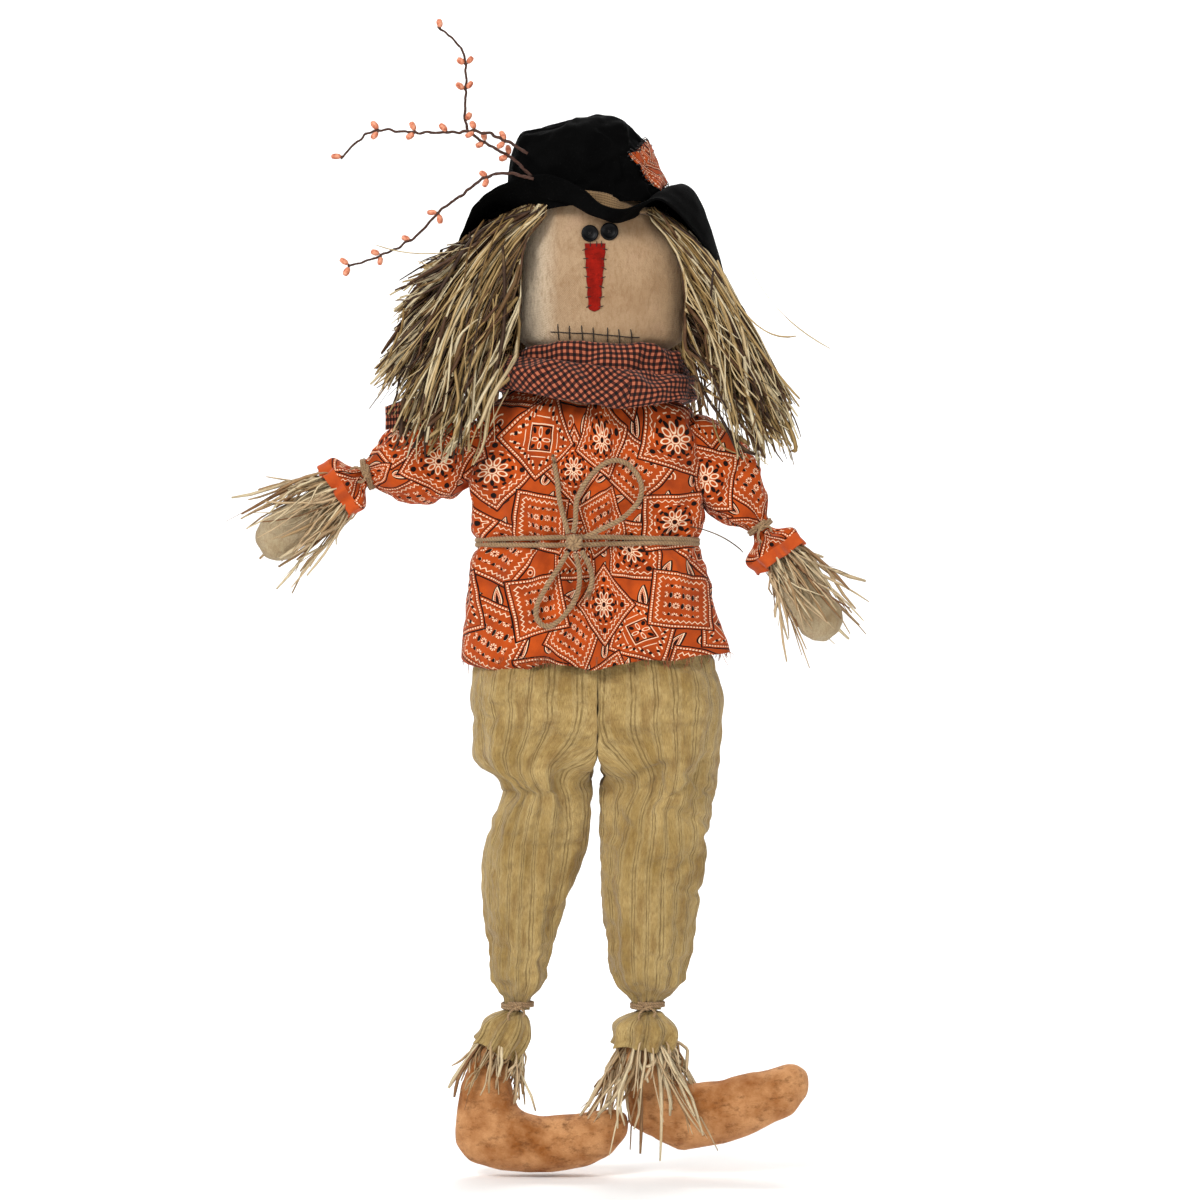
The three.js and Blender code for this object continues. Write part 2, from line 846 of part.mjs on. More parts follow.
function addBow() {
  Object.entries(BOW).forEach(([name, route]) => {
    const points = route.map(([x, y, z]) => new THREE.Vector3(x, y, z));
    add(name, cord(points, BOW_CORD, Math.ceil(1.7 * route.length)), COLOURS.jute);
  });
}

// ------------------------------------------------------------------------ arms, hands

function addArm(name, { x, z, side, droop, hand, girth }) {
  const place = alongLimb(x, z, side, droop);
  const sized = (table) => table.map(([s, c, w, d]) => [s, c, w * girth, d * girth]);
  const sleeve = sized(SLEEVE);
  add(`${name}_sleeve`, skin(place, sleeve), COLOURS.print);
  const inner = sleeve.map(([s, c, w, d]) => [s, c, w - CLOTH - 3 * GAP, d - CLOTH - 3 * GAP]);
  const wireLine = [place(-16, 0, 0), place(40, 0, 0), place(103, 0, 0)];
  const bore = [place(-40, 0, 0), place(40, 0, 0), place(130, 0, 0)];
  const arm = cut(stuffed(place, inner), [cord(bore, ARM_WIRE + GAP, 2)]);
  add(`${name}_arm`, arm, COLOURS.stuffing);
  add(`${name}_arm_wire`, cord(wireLine, ARM_WIRE, 2, 6), COLOURS.wire, 0.4, 0.9);
  const [, , neckWidth, neckDepth] = sleeve[sleeve.length - 1];
  const wristTie = tie(place, ARM_LENGTH - 3, 0, neckWidth + GAP + 1, neckDepth + GAP + 1, 2);
  add(`${name}_wrist_tie`, wristTie, COLOURS.jute);

  const wrist = place(ARM_LENGTH, 0, 0);
  const reach = alongLimb(wrist.x, wrist.z, side, hand);
  add(`${name}_hand`, stuffed(reach, HAND, { softEnd: 22 }), COLOURS.muslin);
  const room = stuffed(reach, HAND, { grow: 2 * GAP });
  add(`${name}_cuff`, cut(skin(reach, CUFF, THIN), [room]), COLOURS.print);
  add(`${name}_wrist_straw`, cut(stuffed(reach, sized(WRIST_STRAW)), [room]), COLOURS.straw);
}

// ---------------------------------------------------------------- trousers, legs, feet

function addSeat() {
  const options = { sides: 16, softStart: 14 };
  const room = TROUSER_SEAT.map(([z, ...rest]) => [z + CLOTH, ...rest]);
  const inside = stuffed(upright, room, { ...options, grow: -CLOTH });
  add("trousers_seat", cut(stuffed(upright, TROUSER_SEAT, options), [inside]), COLOURS.trousers);
}

/** A leg's stations from the rounded top that turns in the hip, down to the ankle. */
function legTable({ thigh, shape }) {
  const halfWidth = 48;
  const top = [75, 50, 25, 0].map((turn) => {
    const z = HIP.z + HIP.radius * Math.sin(radians(turn));
    return [z, thigh, halfWidth, HIP.radius * Math.cos(radians(turn))];
  });
  return [...top, ...shape];
}

/** The boot: an upright shaft run into a foot that lies to one side. */
function boot({ shaft, foot }, grow = 0) {
  const upper = stuffed(upright, shaft, { grow, softStart: 6, softEnd: 12 });
  const lower = stuffed(lengthwise, foot, { grow });
  return joined([upper, lower]);
}

function addLeg(name, leg) {
  const table = legTable(leg);
  add(`${name}_trouser_leg`, skin(upright, table), COLOURS.trousers);
  const inner = table.slice(1).map(([z, c, w, d]) => [z, c, w - CLOTH - 3 * GAP, d - CLOTH - 3 * GAP]);
  add(`${name}_leg`, stuffed(upright, inner), COLOURS.stuffing);
  const [, centre, halfWidth, halfDepth] = leg.shape[leg.shape.length - 1];
  const ankleTie = tie(upright, 167.5, centre, halfWidth + 1.4, halfDepth + 1.6, 2.2);
  add(`${name}_ankle_tie`, ankleTie, COLOURS.jute);

  add(`${name}_boot`, boot(leg), COLOURS.boot);
  add(`${name}_trouser_cuff`, cut(skin(upright, leg.cuff, THIN), [boot(leg, GAP)]), COLOURS.trousers);
  add(`${name}_ankle_straw`, cut(stuffed(upright, leg.straw), [boot(leg, GAP)]), COLOURS.straw);
}

addHead();
addCrown();
addBrim();
addBand();
addPatch();
addTwigs();
addHanger();
addHair();
addTorso();
addScarf();
addBelt();
addBow();
addSeat();
Object.entries(ARMS).forEach(([name, arm]) => addArm(name, arm));
Object.entries(LEGS).forEach(([name, leg]) => addLeg(name, leg));

export default figure;
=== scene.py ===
"""A large stuffed scarecrow that hangs from a loop.

Its head is muslin, its hair raffia, its shirt printed and its trousers striped.
"""

import math
import random

import bpy
import numpy as np
from mathutils import Matrix, Vector, noise
from mathutils.bvhtree import BVHTree


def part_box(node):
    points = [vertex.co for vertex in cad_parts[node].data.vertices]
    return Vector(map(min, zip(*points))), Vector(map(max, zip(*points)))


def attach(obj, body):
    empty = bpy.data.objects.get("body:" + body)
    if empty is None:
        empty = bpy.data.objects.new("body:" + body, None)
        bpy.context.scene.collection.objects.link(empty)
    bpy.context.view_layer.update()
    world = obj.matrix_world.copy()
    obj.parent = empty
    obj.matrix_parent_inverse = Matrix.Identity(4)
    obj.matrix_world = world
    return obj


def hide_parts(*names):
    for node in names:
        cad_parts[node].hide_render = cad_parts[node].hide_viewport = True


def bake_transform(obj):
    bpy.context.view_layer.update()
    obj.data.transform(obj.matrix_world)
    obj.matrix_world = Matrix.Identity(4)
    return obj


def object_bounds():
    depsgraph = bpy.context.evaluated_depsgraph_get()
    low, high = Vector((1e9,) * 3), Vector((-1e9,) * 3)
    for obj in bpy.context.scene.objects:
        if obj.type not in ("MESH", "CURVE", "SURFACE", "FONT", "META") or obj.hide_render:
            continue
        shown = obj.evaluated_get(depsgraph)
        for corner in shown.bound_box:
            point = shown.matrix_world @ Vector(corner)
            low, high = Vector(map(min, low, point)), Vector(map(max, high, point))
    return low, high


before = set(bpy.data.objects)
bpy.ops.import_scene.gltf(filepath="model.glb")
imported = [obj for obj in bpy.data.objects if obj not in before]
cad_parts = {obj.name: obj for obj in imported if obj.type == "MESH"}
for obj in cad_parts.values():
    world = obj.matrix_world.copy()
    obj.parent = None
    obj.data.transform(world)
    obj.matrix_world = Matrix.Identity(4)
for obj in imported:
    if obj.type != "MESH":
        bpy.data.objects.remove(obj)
CAD_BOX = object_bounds()

# Places are given as (across, back, up) from the middle of the figure at its soles.
ORIGIN = Vector((0, -0.074, CAD_BOX[0].z))
TWO_PI = 2 * math.pi
FRONT = Vector((0, -1, 0))
UP = Vector((0, 0, 1))
JUTE_RADIUS = 0.0027
PLY_DEPTH = 0.34  # how deep the grooves between a cord's plies are, as a share of its radius
BELT_HEIGHT = 0.630
SIDES = {"right": -1, "left": 1}  # each of the figure's sides, and its way across
STUDIO_LIGHT = 1.25  # how much brighter than its own colour the studio light shows a surface


def place(across, back, up):
    """A point of the row's frame, from metres measured at the figure's soles."""
    return Vector((across, back, up)) + ORIGIN


# ------------------------------------------------------------------ camera, light and floor


def add_camera():
    """Looks straight at the figure's front from its half height."""
    data = bpy.data.cameras.new("camera")
    data.lens = 105
    data.sensor_width = 36
    camera = bpy.data.objects.new("camera", data)
    camera.location = place(0.005, -3.5, 0.572)
    camera.rotation_euler = (math.radians(90), 0, 0)
    bpy.context.collection.objects.link(camera)
    bpy.context.scene.camera = camera


def add_light(name, spot, size, power, target=(0, 0, 0.65)):
    """A soft square light aimed at the figure's chest, or at another target."""
    data = bpy.data.lights.new(name, "AREA")
    data.size = size
    data.energy = power
    light = bpy.data.objects.new(name, data)
    light.location = place(*spot)
    aim = place(*target) - light.location
    light.rotation_euler = aim.to_track_quat("-Z", "Y").to_euler()
    bpy.context.collection.objects.link(light)


def add_studio():
    """A pale sweep of floor that rises behind the figure, and even white light."""
    depth, rise, bend = 4.6, 5.0, 1.2
    profile = [(-4.0, 0.0), (depth - bend, 0.0)]
    for k in range(1, 13):
        turn = math.pi / 2 * k / 12
        profile.append((depth - bend + bend * math.sin(turn), bend * (1 - math.cos(turn))))
    profile.append((depth, rise))
    half = 6.0
    corners = []
    for back, up in profile:
        corners += [place(-half, back, up - 0.004), place(half, back, up - 0.004)]
    faces = [(2 * k, 2 * k + 1, 2 * k + 3, 2 * k + 2) for k in range(len(profile) - 1)]
    floor = new_mesh("floor", corners, faces)
    paint = Paint("floor_paint")
    speckle = paint.noise(paint.place(), 900, 2)
    paint.surface(paint.mix(speckle, (0.93, 0.93, 0.925), (0.96, 0.96, 0.955)), roughness=0.9)
    paint.bump(speckle, 0.0002)
    floor.data.materials.append(paint.material)
    world = bpy.data.worlds.new("studio")
    world.use_nodes = True
    world.node_tree.nodes["Background"].inputs[0].default_value = (1, 1, 1, 1)
    world.node_tree.nodes["Background"].inputs[1].default_value = 0.58
    bpy.context.scene.world = world
    add_light("key", (-1.5, -2.4, 2.4), 1.2, 80)
    add_light("fill", (2.0, -2.1, 1.1), 1.7, 20)
    add_light("back", (0.4, 2.0, 2.4), 1.6, 34)
    add_light("backdrop", (0, 2.2, 3.6), 2.4, 90, (0, 4.6, 1.0))
    bpy.context.scene.view_settings.view_transform = "Standard"


# ------------------------------------------------------------------ materials


def linear(*codes):
    """A surface's colour from the three display values, 0 to 255, that it has in the studio light."""
    return tuple(
        (c / 255 / 12.92 if c < 11 else ((c / 255 + 0.055) / 1.055) ** 2.4) / STUDIO_LIGHT for c in codes
    )


class Value:
    """A number or a vector in a material, with the arithmetic that patterns need."""

    def __init__(self, paint, socket):
        self.paint = paint
        self.socket = socket

    def within(self, low, high):
        return self.near((low + high) / 2, (high - low) / 2)

    def off(self):
        """1 less the value."""
        return self.paint.math("SUBTRACT", 1.0, self)


# under gives 1 below a limit, and near gives 1 within a distance of a middle
for method, operation in {
    "__add__": "ADD", "__sub__": "SUBTRACT", "__mul__": "MULTIPLY", "__truediv__": "DIVIDE",
    "__pow__": "POWER", "__abs__": "ABSOLUTE", "under": "LESS_THAN", "near": "COMPARE",
    "top": "MAXIMUM", "low": "MINIMUM",
    "sine": "SINE", "cosine": "COSINE", "fraction": "FRACT",
}.items():
    setattr(Value, method, lambda self, *others, kind=operation: self.paint.math(kind, self, *others))

SHADER_INPUTS = {
    "roughness": "Roughness", "sheen": "Sheen Weight", "metallic": "Metallic",
    "specular": "Specular IOR Level",
}


class Paint:
    """A material and the nodes that make its colour, roughness and relief."""

    def __init__(self, name):
        self.material = bpy.data.materials.new(name)
        self.material.use_nodes = True
        self.tree = self.material.node_tree
        self.shader = self.tree.nodes["Principled BSDF"]

    def feed(self, socket, value):
        if isinstance(value, Value):
            self.tree.links.new(value.socket, socket)
        elif isinstance(value, tuple) and len(value) == 3 and len(socket.default_value) == 4:
            socket.default_value = (*value, 1)
        else:
            socket.default_value = value

    def node(self, kind, inputs=(), out=0, **settings):
        made = self.tree.nodes.new(kind)
        for key, value in settings.items():
            setattr(made, key, value)
        for key, value in dict(inputs).items():
            self.feed(made.inputs[key], value)
        return Value(self, made.outputs[out])

    def math(self, operation, *values):
        return self.node("ShaderNodeMath", dict(enumerate(values)), operation=operation)

    def vector(self, operation, *values):
        return self.node("ShaderNodeVectorMath", dict(enumerate(values)), operation=operation)

    def place(self):
        return self.node("ShaderNodeTexCoord", out=3)

    def cloth(self):
        """Millimetres across and along the cloth."""
        return self.vector("MULTIPLY", self.node("ShaderNodeUVMap"), (1000, 1000, 0))

    def parts(self, vector):
        split = self.node("ShaderNodeSeparateXYZ", {0: vector}).socket.node
        return [Value(self, socket) for socket in split.outputs]

    def turned(self, at, angle):
        return self.node("ShaderNodeVectorRotate", {"Vector": at, "Angle": angle}, rotation_type="Z_AXIS")

    def noise(self, at, scale, detail=3, rough=0.55, squeeze=None):
        """Smooth noise from 0 to 1, finer where squeeze is over 1 along a direction."""
        if squeeze:
            at = self.vector("MULTIPLY", at, squeeze)
        return self.node(
            "ShaderNodeTexNoise", {"Vector": at, "Scale": scale, "Detail": detail, "Roughness": rough}
        )

    def mix(self, share, first, second):
        return self.node("ShaderNodeMix", {0: share, 6: first, 7: second}, 2, data_type="RGBA")

    def choose(self, share, first, second):
        return self.node("ShaderNodeMix", {0: share, 2: first, 3: second})

    def range(self, value, low, high, first=0.0, last=1.0):
        return self.node("ShaderNodeMapRange", {0: value, 1: low, 2: high, 3: first, 4: last})

    def over(self, tone, value, low, high, most, colour):
        """A tone with a colour laid over it, by up to a share as the value goes from low to high."""
        return self.mix(self.range(value, low, high, 0.0, most), tone, colour)

    def ramp(self, value, *stops):
        made = self.node("ShaderNodeValToRGB", {0: value})
        elements = made.socket.node.color_ramp.elements
        while len(elements) < len(stops):
            elements.new(0.5)
        for element, (at, colour) in zip(elements, stops):
            element.position = at
            element.color = (*colour, 1)
        return made

    def surface(self, tone, **inputs):
        """Sets the shader's colour and its other inputs."""
        self.feed(self.shader.inputs["Base Color"], tone)
        for key, value in inputs.items():
            self.feed(self.shader.inputs[SHADER_INPUTS[key]], value)

    def bump(self, height, distance, strength=1.0):
        """Relief of this height in metres, added to what is there."""
        inputs = {"Strength": strength, "Distance": distance, "Height": height}
        normal = self.shader.inputs["Normal"]
        if normal.is_linked:
            inputs["Normal"] = Value(self, normal.links[0].from_socket)
        self.feed(normal, self.node("ShaderNodeBump", inputs))


def line(value, middle, width):
    """1 on a line of this width."""
    return value.near(middle, width / 2)


def pitch(value, size):
    """Distance from the middle of each repeat."""
    return ((value / size).fraction() - 0.5) * size


def square(value):
    return value * value


def distance(x, y):
    return (square(x) + square(y)) ** 0.5


def wave(value, size):
    """A sine whose waves have this length."""
    return (value * (TWO_PI / size)).sine()


def weave(paint, at, size):
    """Height of a plain weave whose threads lie at a pitch, in the units of the place given."""
    x, y, _ = paint.parts(at)
    return abs(wave(x, 2 * size) * wave(y, 2 * size))


def muslin(paint, pale, dark, stain, sides=()):
    """Tea-stained cotton: cloudy colour, a plain weave and lint. sides are two colours of painted light and
    shade laid across x: the lighter first one at negative x, the darker second one at positive x.
    """
    at = paint.place()
    x, y, z = paint.parts(at)
    tone = paint.ramp(paint.noise(at, 14, 4, 0.6), (0.34, dark), (0.5, pale), (0.68, stain))
    if sides:
        # painted light and shade across the face, from the lighter sides colour at negative x to the darker
        # one at positive x
        share = paint.range(x + (paint.noise(at, 9, 2) - 0.5) * 0.08, -0.08, 0.10)
        tone = paint.mix(0.45, tone, paint.mix(share, *sides))
        tone = paint.over(tone, paint.noise(at, 34, 5, 0.7), 0.50, 0.70, 0.6, linear(152, 112, 74))
        # painted light on both edges of the face, which lightens the shade where the head turns away from the
        # light
        tone = paint.over(tone, x, -0.036, -0.064, 1.0, linear(255, 236, 206))
        tone = paint.over(tone, x, 0.060, 0.086, 0.7, linear(226, 190, 146))
    tone = paint.over(tone, paint.noise(at, 700, 2, 0.7), 0.35, 0.7, 0.42, dark)
    slubs = paint.noise(at, 330, 3, 0.7, (1, 1, 0.35))
    tone = paint.over(tone, slubs, 0.48, 0.66, 0.4, linear(146, 110, 74))
    paint.surface(tone, roughness=0.92, sheen=0.15, specular=0.2)
    paint.bump(wave(x, 0.0016) * wave(z + y, 0.0016), 0.0003, 0.8)
    paint.bump(paint.noise(at, 160, 3), 0.0009, 0.5)


def print_cloth(paint):
    """Orange cotton printed with tilted kerchief squares, paisleys and dots in white and black, in mm."""
    at = paint.cloth()
    half = 33.0

    def cell(size, shift, seed):
        """Place inside a turned cell of a grid, and the cell's random number."""
        grid = paint.vector("DIVIDE", paint.vector("ADD", at, (shift, shift * 0.7, 0)), (size, size, 1))
        own = paint.vector("FLOOR", grid)
        lot = paint.node("ShaderNodeTexWhiteNoise", {0: paint.vector("ADD", own, (seed, 0, seed))})
        inner = paint.vector("MULTIPLY", paint.vector("SUBTRACT", grid, own), (size, size, 0))
        inner = paint.vector("SUBTRACT", inner, (size / 2, size / 2, 0))
        return paint.turned(inner, paint.range(lot, 0, 1, -0.8, 0.8)), (lot * 7.31).fraction()

    upper, upper_lot = cell(92, 20, 3)
    lower, lower_lot = cell(92, 66, 11)
    x, y, _ = paint.parts(upper)
    on_upper = abs(x).top(abs(y)).under(half)
    spot = paint.node("ShaderNodeMix", {0: on_upper, 4: lower, 5: upper}, 1, data_type="VECTOR")
    lot = paint.choose(on_upper, lower_lot, upper_lot)
    x, y, _ = paint.parts(spot)
    edge, along = abs(x).top(abs(y)), abs(x).low(abs(y))
    away = distance(x, y)
    turn = paint.math("ARCTAN2", y, x)

    def leaves(count, middle, long, wide, shift=0.0):
        """Under 1 inside each of the leaves set round the centre."""
        off = pitch(turn + shift, TWO_PI / count)
        return square((away * off.cosine() - middle) / long) + square(away * off.sine() / wide)

    # the edge that every square has: a black outline and a line of white beads
    white = line(edge, 29.6, 1.5) * pitch(along, 2.9).within(-0.85, 0.85)
    black = line(edge, 32.2, 1.5).top(line(edge, 27.9, 0.6))

    # a round flower inside a scalloped line
    scallop = line(edge + wave(along, 6.6) * 1.1, 24.6, 1.0)
    dashes = line(away, 18.4, 2.6) * (turn * 12).sine().under(0.1).off()
    drops = leaves(8, 13.8, 3.4, 1.9, TWO_PI / 16).under(1.0)
    corner = distance(abs(x) - 19.5, abs(y) - 19.5)
    white_flower = scallop.top(leaves(8, 9.8, 5.3, 2.8).within(0.42, 1.0)).top(line(away, 3.6, 1.2))
    white_flower = white_flower.top(line(away, 21.4, 1.0) * (turn * 16).sine().under(0.0))
    black_flower = away.under(2.3).top(dashes).top(drops).top(corner.under(2.9))

    # a zigzag line round rows of stars and beans
    zigzag = line(edge - abs(pitch(along, 5.4)) * 1.1, 22.4, 1.25) * edge.within(19, 27.5)
    star_x, star_y, bean_x = pitch(x, 11.6), pitch(y, 11.6), pitch(x + 5.8, 11.6)
    star_away = distance(star_x, star_y)
    rays = (paint.math("ARCTAN2", star_y, star_x) * 8).sine().under(0.2)
    bean = square(bean_x / 1.4) + square(star_y / 2.7)
    field = edge.under(17.6)
    white_stars = zigzag.top(star_away.within(1.3, 3.3) * rays * field)
    white_stars = white_stars.top(bean.within(1.0, 1.5) * bean_x.under(0) * field)
    black_stars = bean.under(1.25).top(star_away.under(0.8)) * field

    # curls round a diamond that holds a four-leaved flower
    curl_x, curl_y = pitch(along, 8.4), edge - 22.4
    curls = line(distance(curl_x, curl_y), 2.4, 1.3) * (curl_x * curl_y).under(0.9)
    diamond = abs(x) + abs(y)
    white_cross = curls.top(line(diamond, 17.6, 1.3)).top(leaves(4, 6.4, 4.6, 2.0).within(0.45, 1.0))
    white_cross = white_cross.top(line(diamond, 26.4, 1.2) * edge.under(18.6))
    gems = (abs(pitch(along + 4.2, 8.4)) + abs(curl_y)).under(2.2)
    black_cross = gems.top(line(diamond, 15.4, 1.6)).top(leaves(4, 10.4, 3.0, 2.0, TWO_PI / 8).under(1))
    black_cross = black_cross.top(away.under(1.5))

    inner = edge.under(26.4)
    flower, stars = lot.under(0.42), lot.under(0.74)
    white_inside = paint.choose(stars, white_cross, paint.choose(flower, white_stars, white_flower))
    black_inside = paint.choose(stars, black_cross, paint.choose(flower, black_stars, black_flower))
    white, black = white.top(white_inside * inner), black.top(black_inside * inner)

    # paisleys and ringed dots between the squares
    leaf, leaf_lot = cell(27, 8, 29)
    x, y, _ = paint.parts(leaf)
    share = (y + 11) / 22
    width = share.top(0.0) ** 0.5 * (share.off().top(0.0) ** 0.9) * 14.0
    rim = abs(x + square(share) * 9.0 - 2.6) - width
    in_leaf = share.within(0.01, 0.97)
    white_leaf = line(rim, -1.5, 1.1).top(line(rim, -3.3, 0.7) * pitch(y, 1.7).within(-0.5, 0.5)) * in_leaf
    black_leaf = line(rim, 0.0, 1.7).top(rim.under(-4.2)) * in_leaf
    bud = leaf_lot.under(0.7)
    dot = distance(x, y)
    white_bud = line(dot, 2.6, 0.7).top(line(dot, 6.2, 1.2) * (turn * 9).sine().under(-0.2))
    on_square = edge.under(half)
    white = paint.choose(on_square, paint.choose(bud, white_bud, white_leaf), white)
    black = paint.choose(on_square, paint.choose(bud, dot.under(1.3), black_leaf), black)

    fade = paint.noise(at, 0.03, 3, 0.6)
    ground = paint.ramp(fade, (0.32, linear(160, 60, 14)), (0.68, linear(206, 84, 20)))
    ground = paint.over(ground, paint.noise(at, 1.6, 2), 0.4, 0.7, 0.35, linear(134, 52, 18))
    tone = paint.mix(white * 0.95, ground, linear(255, 222, 186))
    paint.surface(paint.mix(black, tone, linear(22, 6, 3)), roughness=0.9, sheen=0.05, specular=0.15)
    paint.bump(weave(paint, at, 0.9), 0.00008, 0.6)
    paint.bump(paint.noise(at, 0.35, 3), 0.0006, 0.35)


def plain_orange(paint):
    """The printed cloth's turned edge, without its print."""
    at = paint.cloth()
    tone = paint.mix(paint.noise(at, 0.12, 4), linear(186, 70, 18), linear(212, 92, 32))
    paint.surface(tone, roughness=0.88, sheen=0.12, specular=0.2)
    paint.bump(weave(paint, at, 0.9), 0.0001, 0.7)


def gingham(paint, skew):
    check = 5.8
    at = paint.cloth()
    turned = paint.turned(at, skew)
    wander = paint.noise(at, 0.03, 2) * 3
    x, y, _ = paint.parts(turned)
    dark_x, dark_y = (((way + wander) / check).fraction().under(0.5) for way in (x, y))
    fibre = paint.noise(turned, 1.2, 2, squeeze=(1, 6, 1))
    salmon = paint.mix(fibre, linear(172, 90, 62), linear(200, 118, 86))
    middle = paint.mix(fibre, linear(64, 26, 18), linear(92, 40, 28))
    black = paint.mix(fibre, linear(10, 4, 4), linear(24, 9, 8))
    tone = paint.mix(dark_x, paint.mix(dark_y, salmon, middle), paint.mix(dark_y, middle, black))
    paint.surface(tone, roughness=0.9, sheen=0.1, specular=0.2)
    paint.bump(weave(paint, turned, 0.73), 0.00012, 0.8)


def striped_cloth(paint):
    """Crumpled tan cotton with pairs of thin broken stripes and a ribbed weave."""
    at = paint.cloth()
    x, _, _ = paint.parts(at)
    across = abs(pitch(x + paint.noise(at, 0.06, 2, squeeze=(1, 0.12, 1)) * 9, 23))
    broken = paint.noise(at, 0.5, 3, squeeze=(1, 0.16, 1))
    pair = abs(across - 1.9).under(0.8)
    single = abs(across - 8.2).under(0.45) * broken.under(0.47)
    ribs = paint.noise(at, 0.6, 3, 0.65, (3.0, 0.25, 1))
    clouds = paint.noise(at, 0.018, 4, 0.6)
    stains = paint.noise(at, 0.05, 4, 0.7, (1, 0.5, 1))
    ground = paint.ramp(clouds, (0.3, linear(158, 128, 68)), (0.7, linear(214, 184, 122)))
    ground = paint.mix(across.under(6.0) * 0.28, ground, linear(206, 184, 132))
    ground = paint.over(ground, ribs, 0.38, 0.68, 0.7, linear(118, 88, 42))
    ground = paint.over(ground, stains, 0.50, 0.68, 0.6, linear(126, 92, 44))
    stripes = pair.top(single * 0.6) * paint.range(broken, 0.3, 0.6, 0.1, 0.8)
    paint.surface(paint.mix(stripes, ground, linear(112, 88, 46)), roughness=0.9, sheen=0.15, specular=0.2)
    paint.bump(ribs, 0.0005, 0.5)
    paint.bump(paint.noise(at, 0.12, 4, 0.6), 0.0045, 0.75)


def black_cotton(paint):
    """Soft black cloth with a visible weave, cloudy patches and scattered dusty specks."""
    at = paint.place()
    tone = paint.over(linear(3, 3, 3), paint.noise(at, 24, 4, 0.65), 0.45, 0.75, 1.0, linear(8, 8, 8))
    tone = paint.over(tone, paint.noise(at, 420, 3, 0.8), 0.68, 0.76, 0.4, linear(58, 48, 40))
    paint.surface(tone, roughness=1.0, specular=0.05)
    x, y, z = paint.parts(at)
    paint.bump(wave(x + y, 0.0014) * wave(z, 0.0014), 0.0001, 0.6)
    paint.bump(paint.noise(at, 130, 3), 0.0008, 0.5)


def felt(paint, deep, bright, smear, cloud_scale, fuzz):
    """Pressed fibres: cloudy colour, short matted fibres standing from the surface."""
    at = paint.place()
    fibres = paint.noise(at, 520, 4, 0.75, (1, 1, 2.2))
    tone = paint.ramp(paint.noise(at, cloud_scale, 5, 0.62), (0.32, deep), (0.68, bright))
    tone = paint.over(tone, fibres, 0.4, 0.72, 0.3, deep)
    smudge = paint.noise(at, cloud_scale * 2.4, 5, 0.75, (1, 1, 1.8))
    paint.surface(paint.over(tone, smudge, 0.52, 0.70, 0.75, smear), roughness=0.95, sheen=0.08, specular=0.1)
    paint.bump(fibres, fuzz, 0.45)
    paint.bump(paint.noise(at, 60, 4, 0.6), 0.0022, 0.6)


def jute(paint):
    """Coarse twisted fibre: pale and brown hairs along the cord, with painted shade in the grooves between
    its plies.
    """
    at = paint.cloth()
    hairs = paint.noise(at, 1.1, 4, 0.7, (0.35, 2.4, 1))
    groove = paint.node("ShaderNodeAttribute", {}, 2, attribute_name="groove")
    tone = paint.ramp(
        hairs, (0.3, linear(110, 78, 48)), (0.5, linear(178, 144, 104)), (0.72, linear(224, 194, 154))
    )
    tone = paint.over(tone, paint.noise(at, 0.05, 2), 0.4, 0.7, 0.35, linear(128, 92, 58))
    # painted shade in the grooves between the plies
    tone = paint.over(tone, groove, 0.25, 1.0, 0.85, linear(70, 44, 24))
    paint.surface(tone, roughness=0.88, sheen=0.15, specular=0.25)
    paint.bump(hairs, 0.0006, 0.8)


def straw(paint, pale, green, brown):
    """Split raffia: each blade has its own tone, whose low end is also painted shade for blades that lie deep
    in a bunch or at its back, with fine lines along it.
    """
    at = paint.cloth()
    tone = paint.node("ShaderNodeAttribute", {}, 2, attribute_name="tone")
    lines = paint.noise(at, 1.0, 3, 0.6, (5.0, 0.12, 1))
    # tone near 0 is near black: the painted shade of blades deep in the hair
    colour = paint.ramp(
        tone, (0.0, linear(34, 18, 8)), (0.16, brown), (0.36, green), (0.64, pale),
        (0.92, linear(246, 228, 186)),
    )
    colour = paint.over(colour, lines, 0.38, 0.66, 0.5, brown)
    colour = paint.over(colour, paint.noise(at, 0.06, 2), 0.55, 0.75, 0.45, green)
    paint.surface(colour, roughness=paint.range(lines, 0.3, 0.7, 0.5, 0.75), specular=0.35)
    paint.bump(lines, 0.0004, 0.6)


def bark(paint):
    """Dark tape wound round wire, with a slight spiral ridge."""
    at = paint.cloth()
    x, y, _ = paint.parts(at)
    spiral = wave(x * 0.35 + y, 4.2)
    patches = paint.noise(at, 0.25, 4, 0.7)
    tone = paint.ramp(patches, (0.3, linear(38, 20, 14)), (0.7, linear(86, 52, 38)))
    paint.surface(paint.over(tone, spiral, 0.4, 1.0, 0.4, linear(112, 74, 56)), roughness=0.7, specular=0.3)
    paint.bump(spiral, 0.0003, 0.7)


def berry_skin(paint):
    """Painted foam berries: salmon with darker and paler mottling."""
    patches = paint.noise(paint.place(), 260, 3, 0.6)
    tone = paint.ramp(
        patches, (0.34, linear(176, 84, 52)), (0.5, linear(222, 134, 96)), (0.7, linear(240, 176, 144))
    )
    paint.surface(tone, roughness=paint.range(patches, 0.3, 0.7, 0.45, 0.7))
    paint.bump(patches, 0.0005, 0.5)


def glossy_button(paint):
    """Black moulded plastic with fine scratches."""
    marks = paint.noise(paint.place(), 500, 3, 0.6, (1, 1, 7))
    tone = paint.mix(marks, linear(5, 5, 6), linear(12, 12, 13))
    paint.surface(tone, roughness=paint.range(marks, 0.3, 0.7, 0.26, 0.42), specular=0.12)
    paint.bump(marks, 0.00005, 0.4)


def thread(paint, dark, light):
    """Cotton sewing thread with a tight twist."""
    fibres = paint.noise(paint.place(), 1600, 3, 0.7)
    paint.surface(paint.mix(fibres, dark, light), roughness=0.8, sheen=0.1, specular=0.3)
    paint.bump(fibres, 0.0002, 0.7)


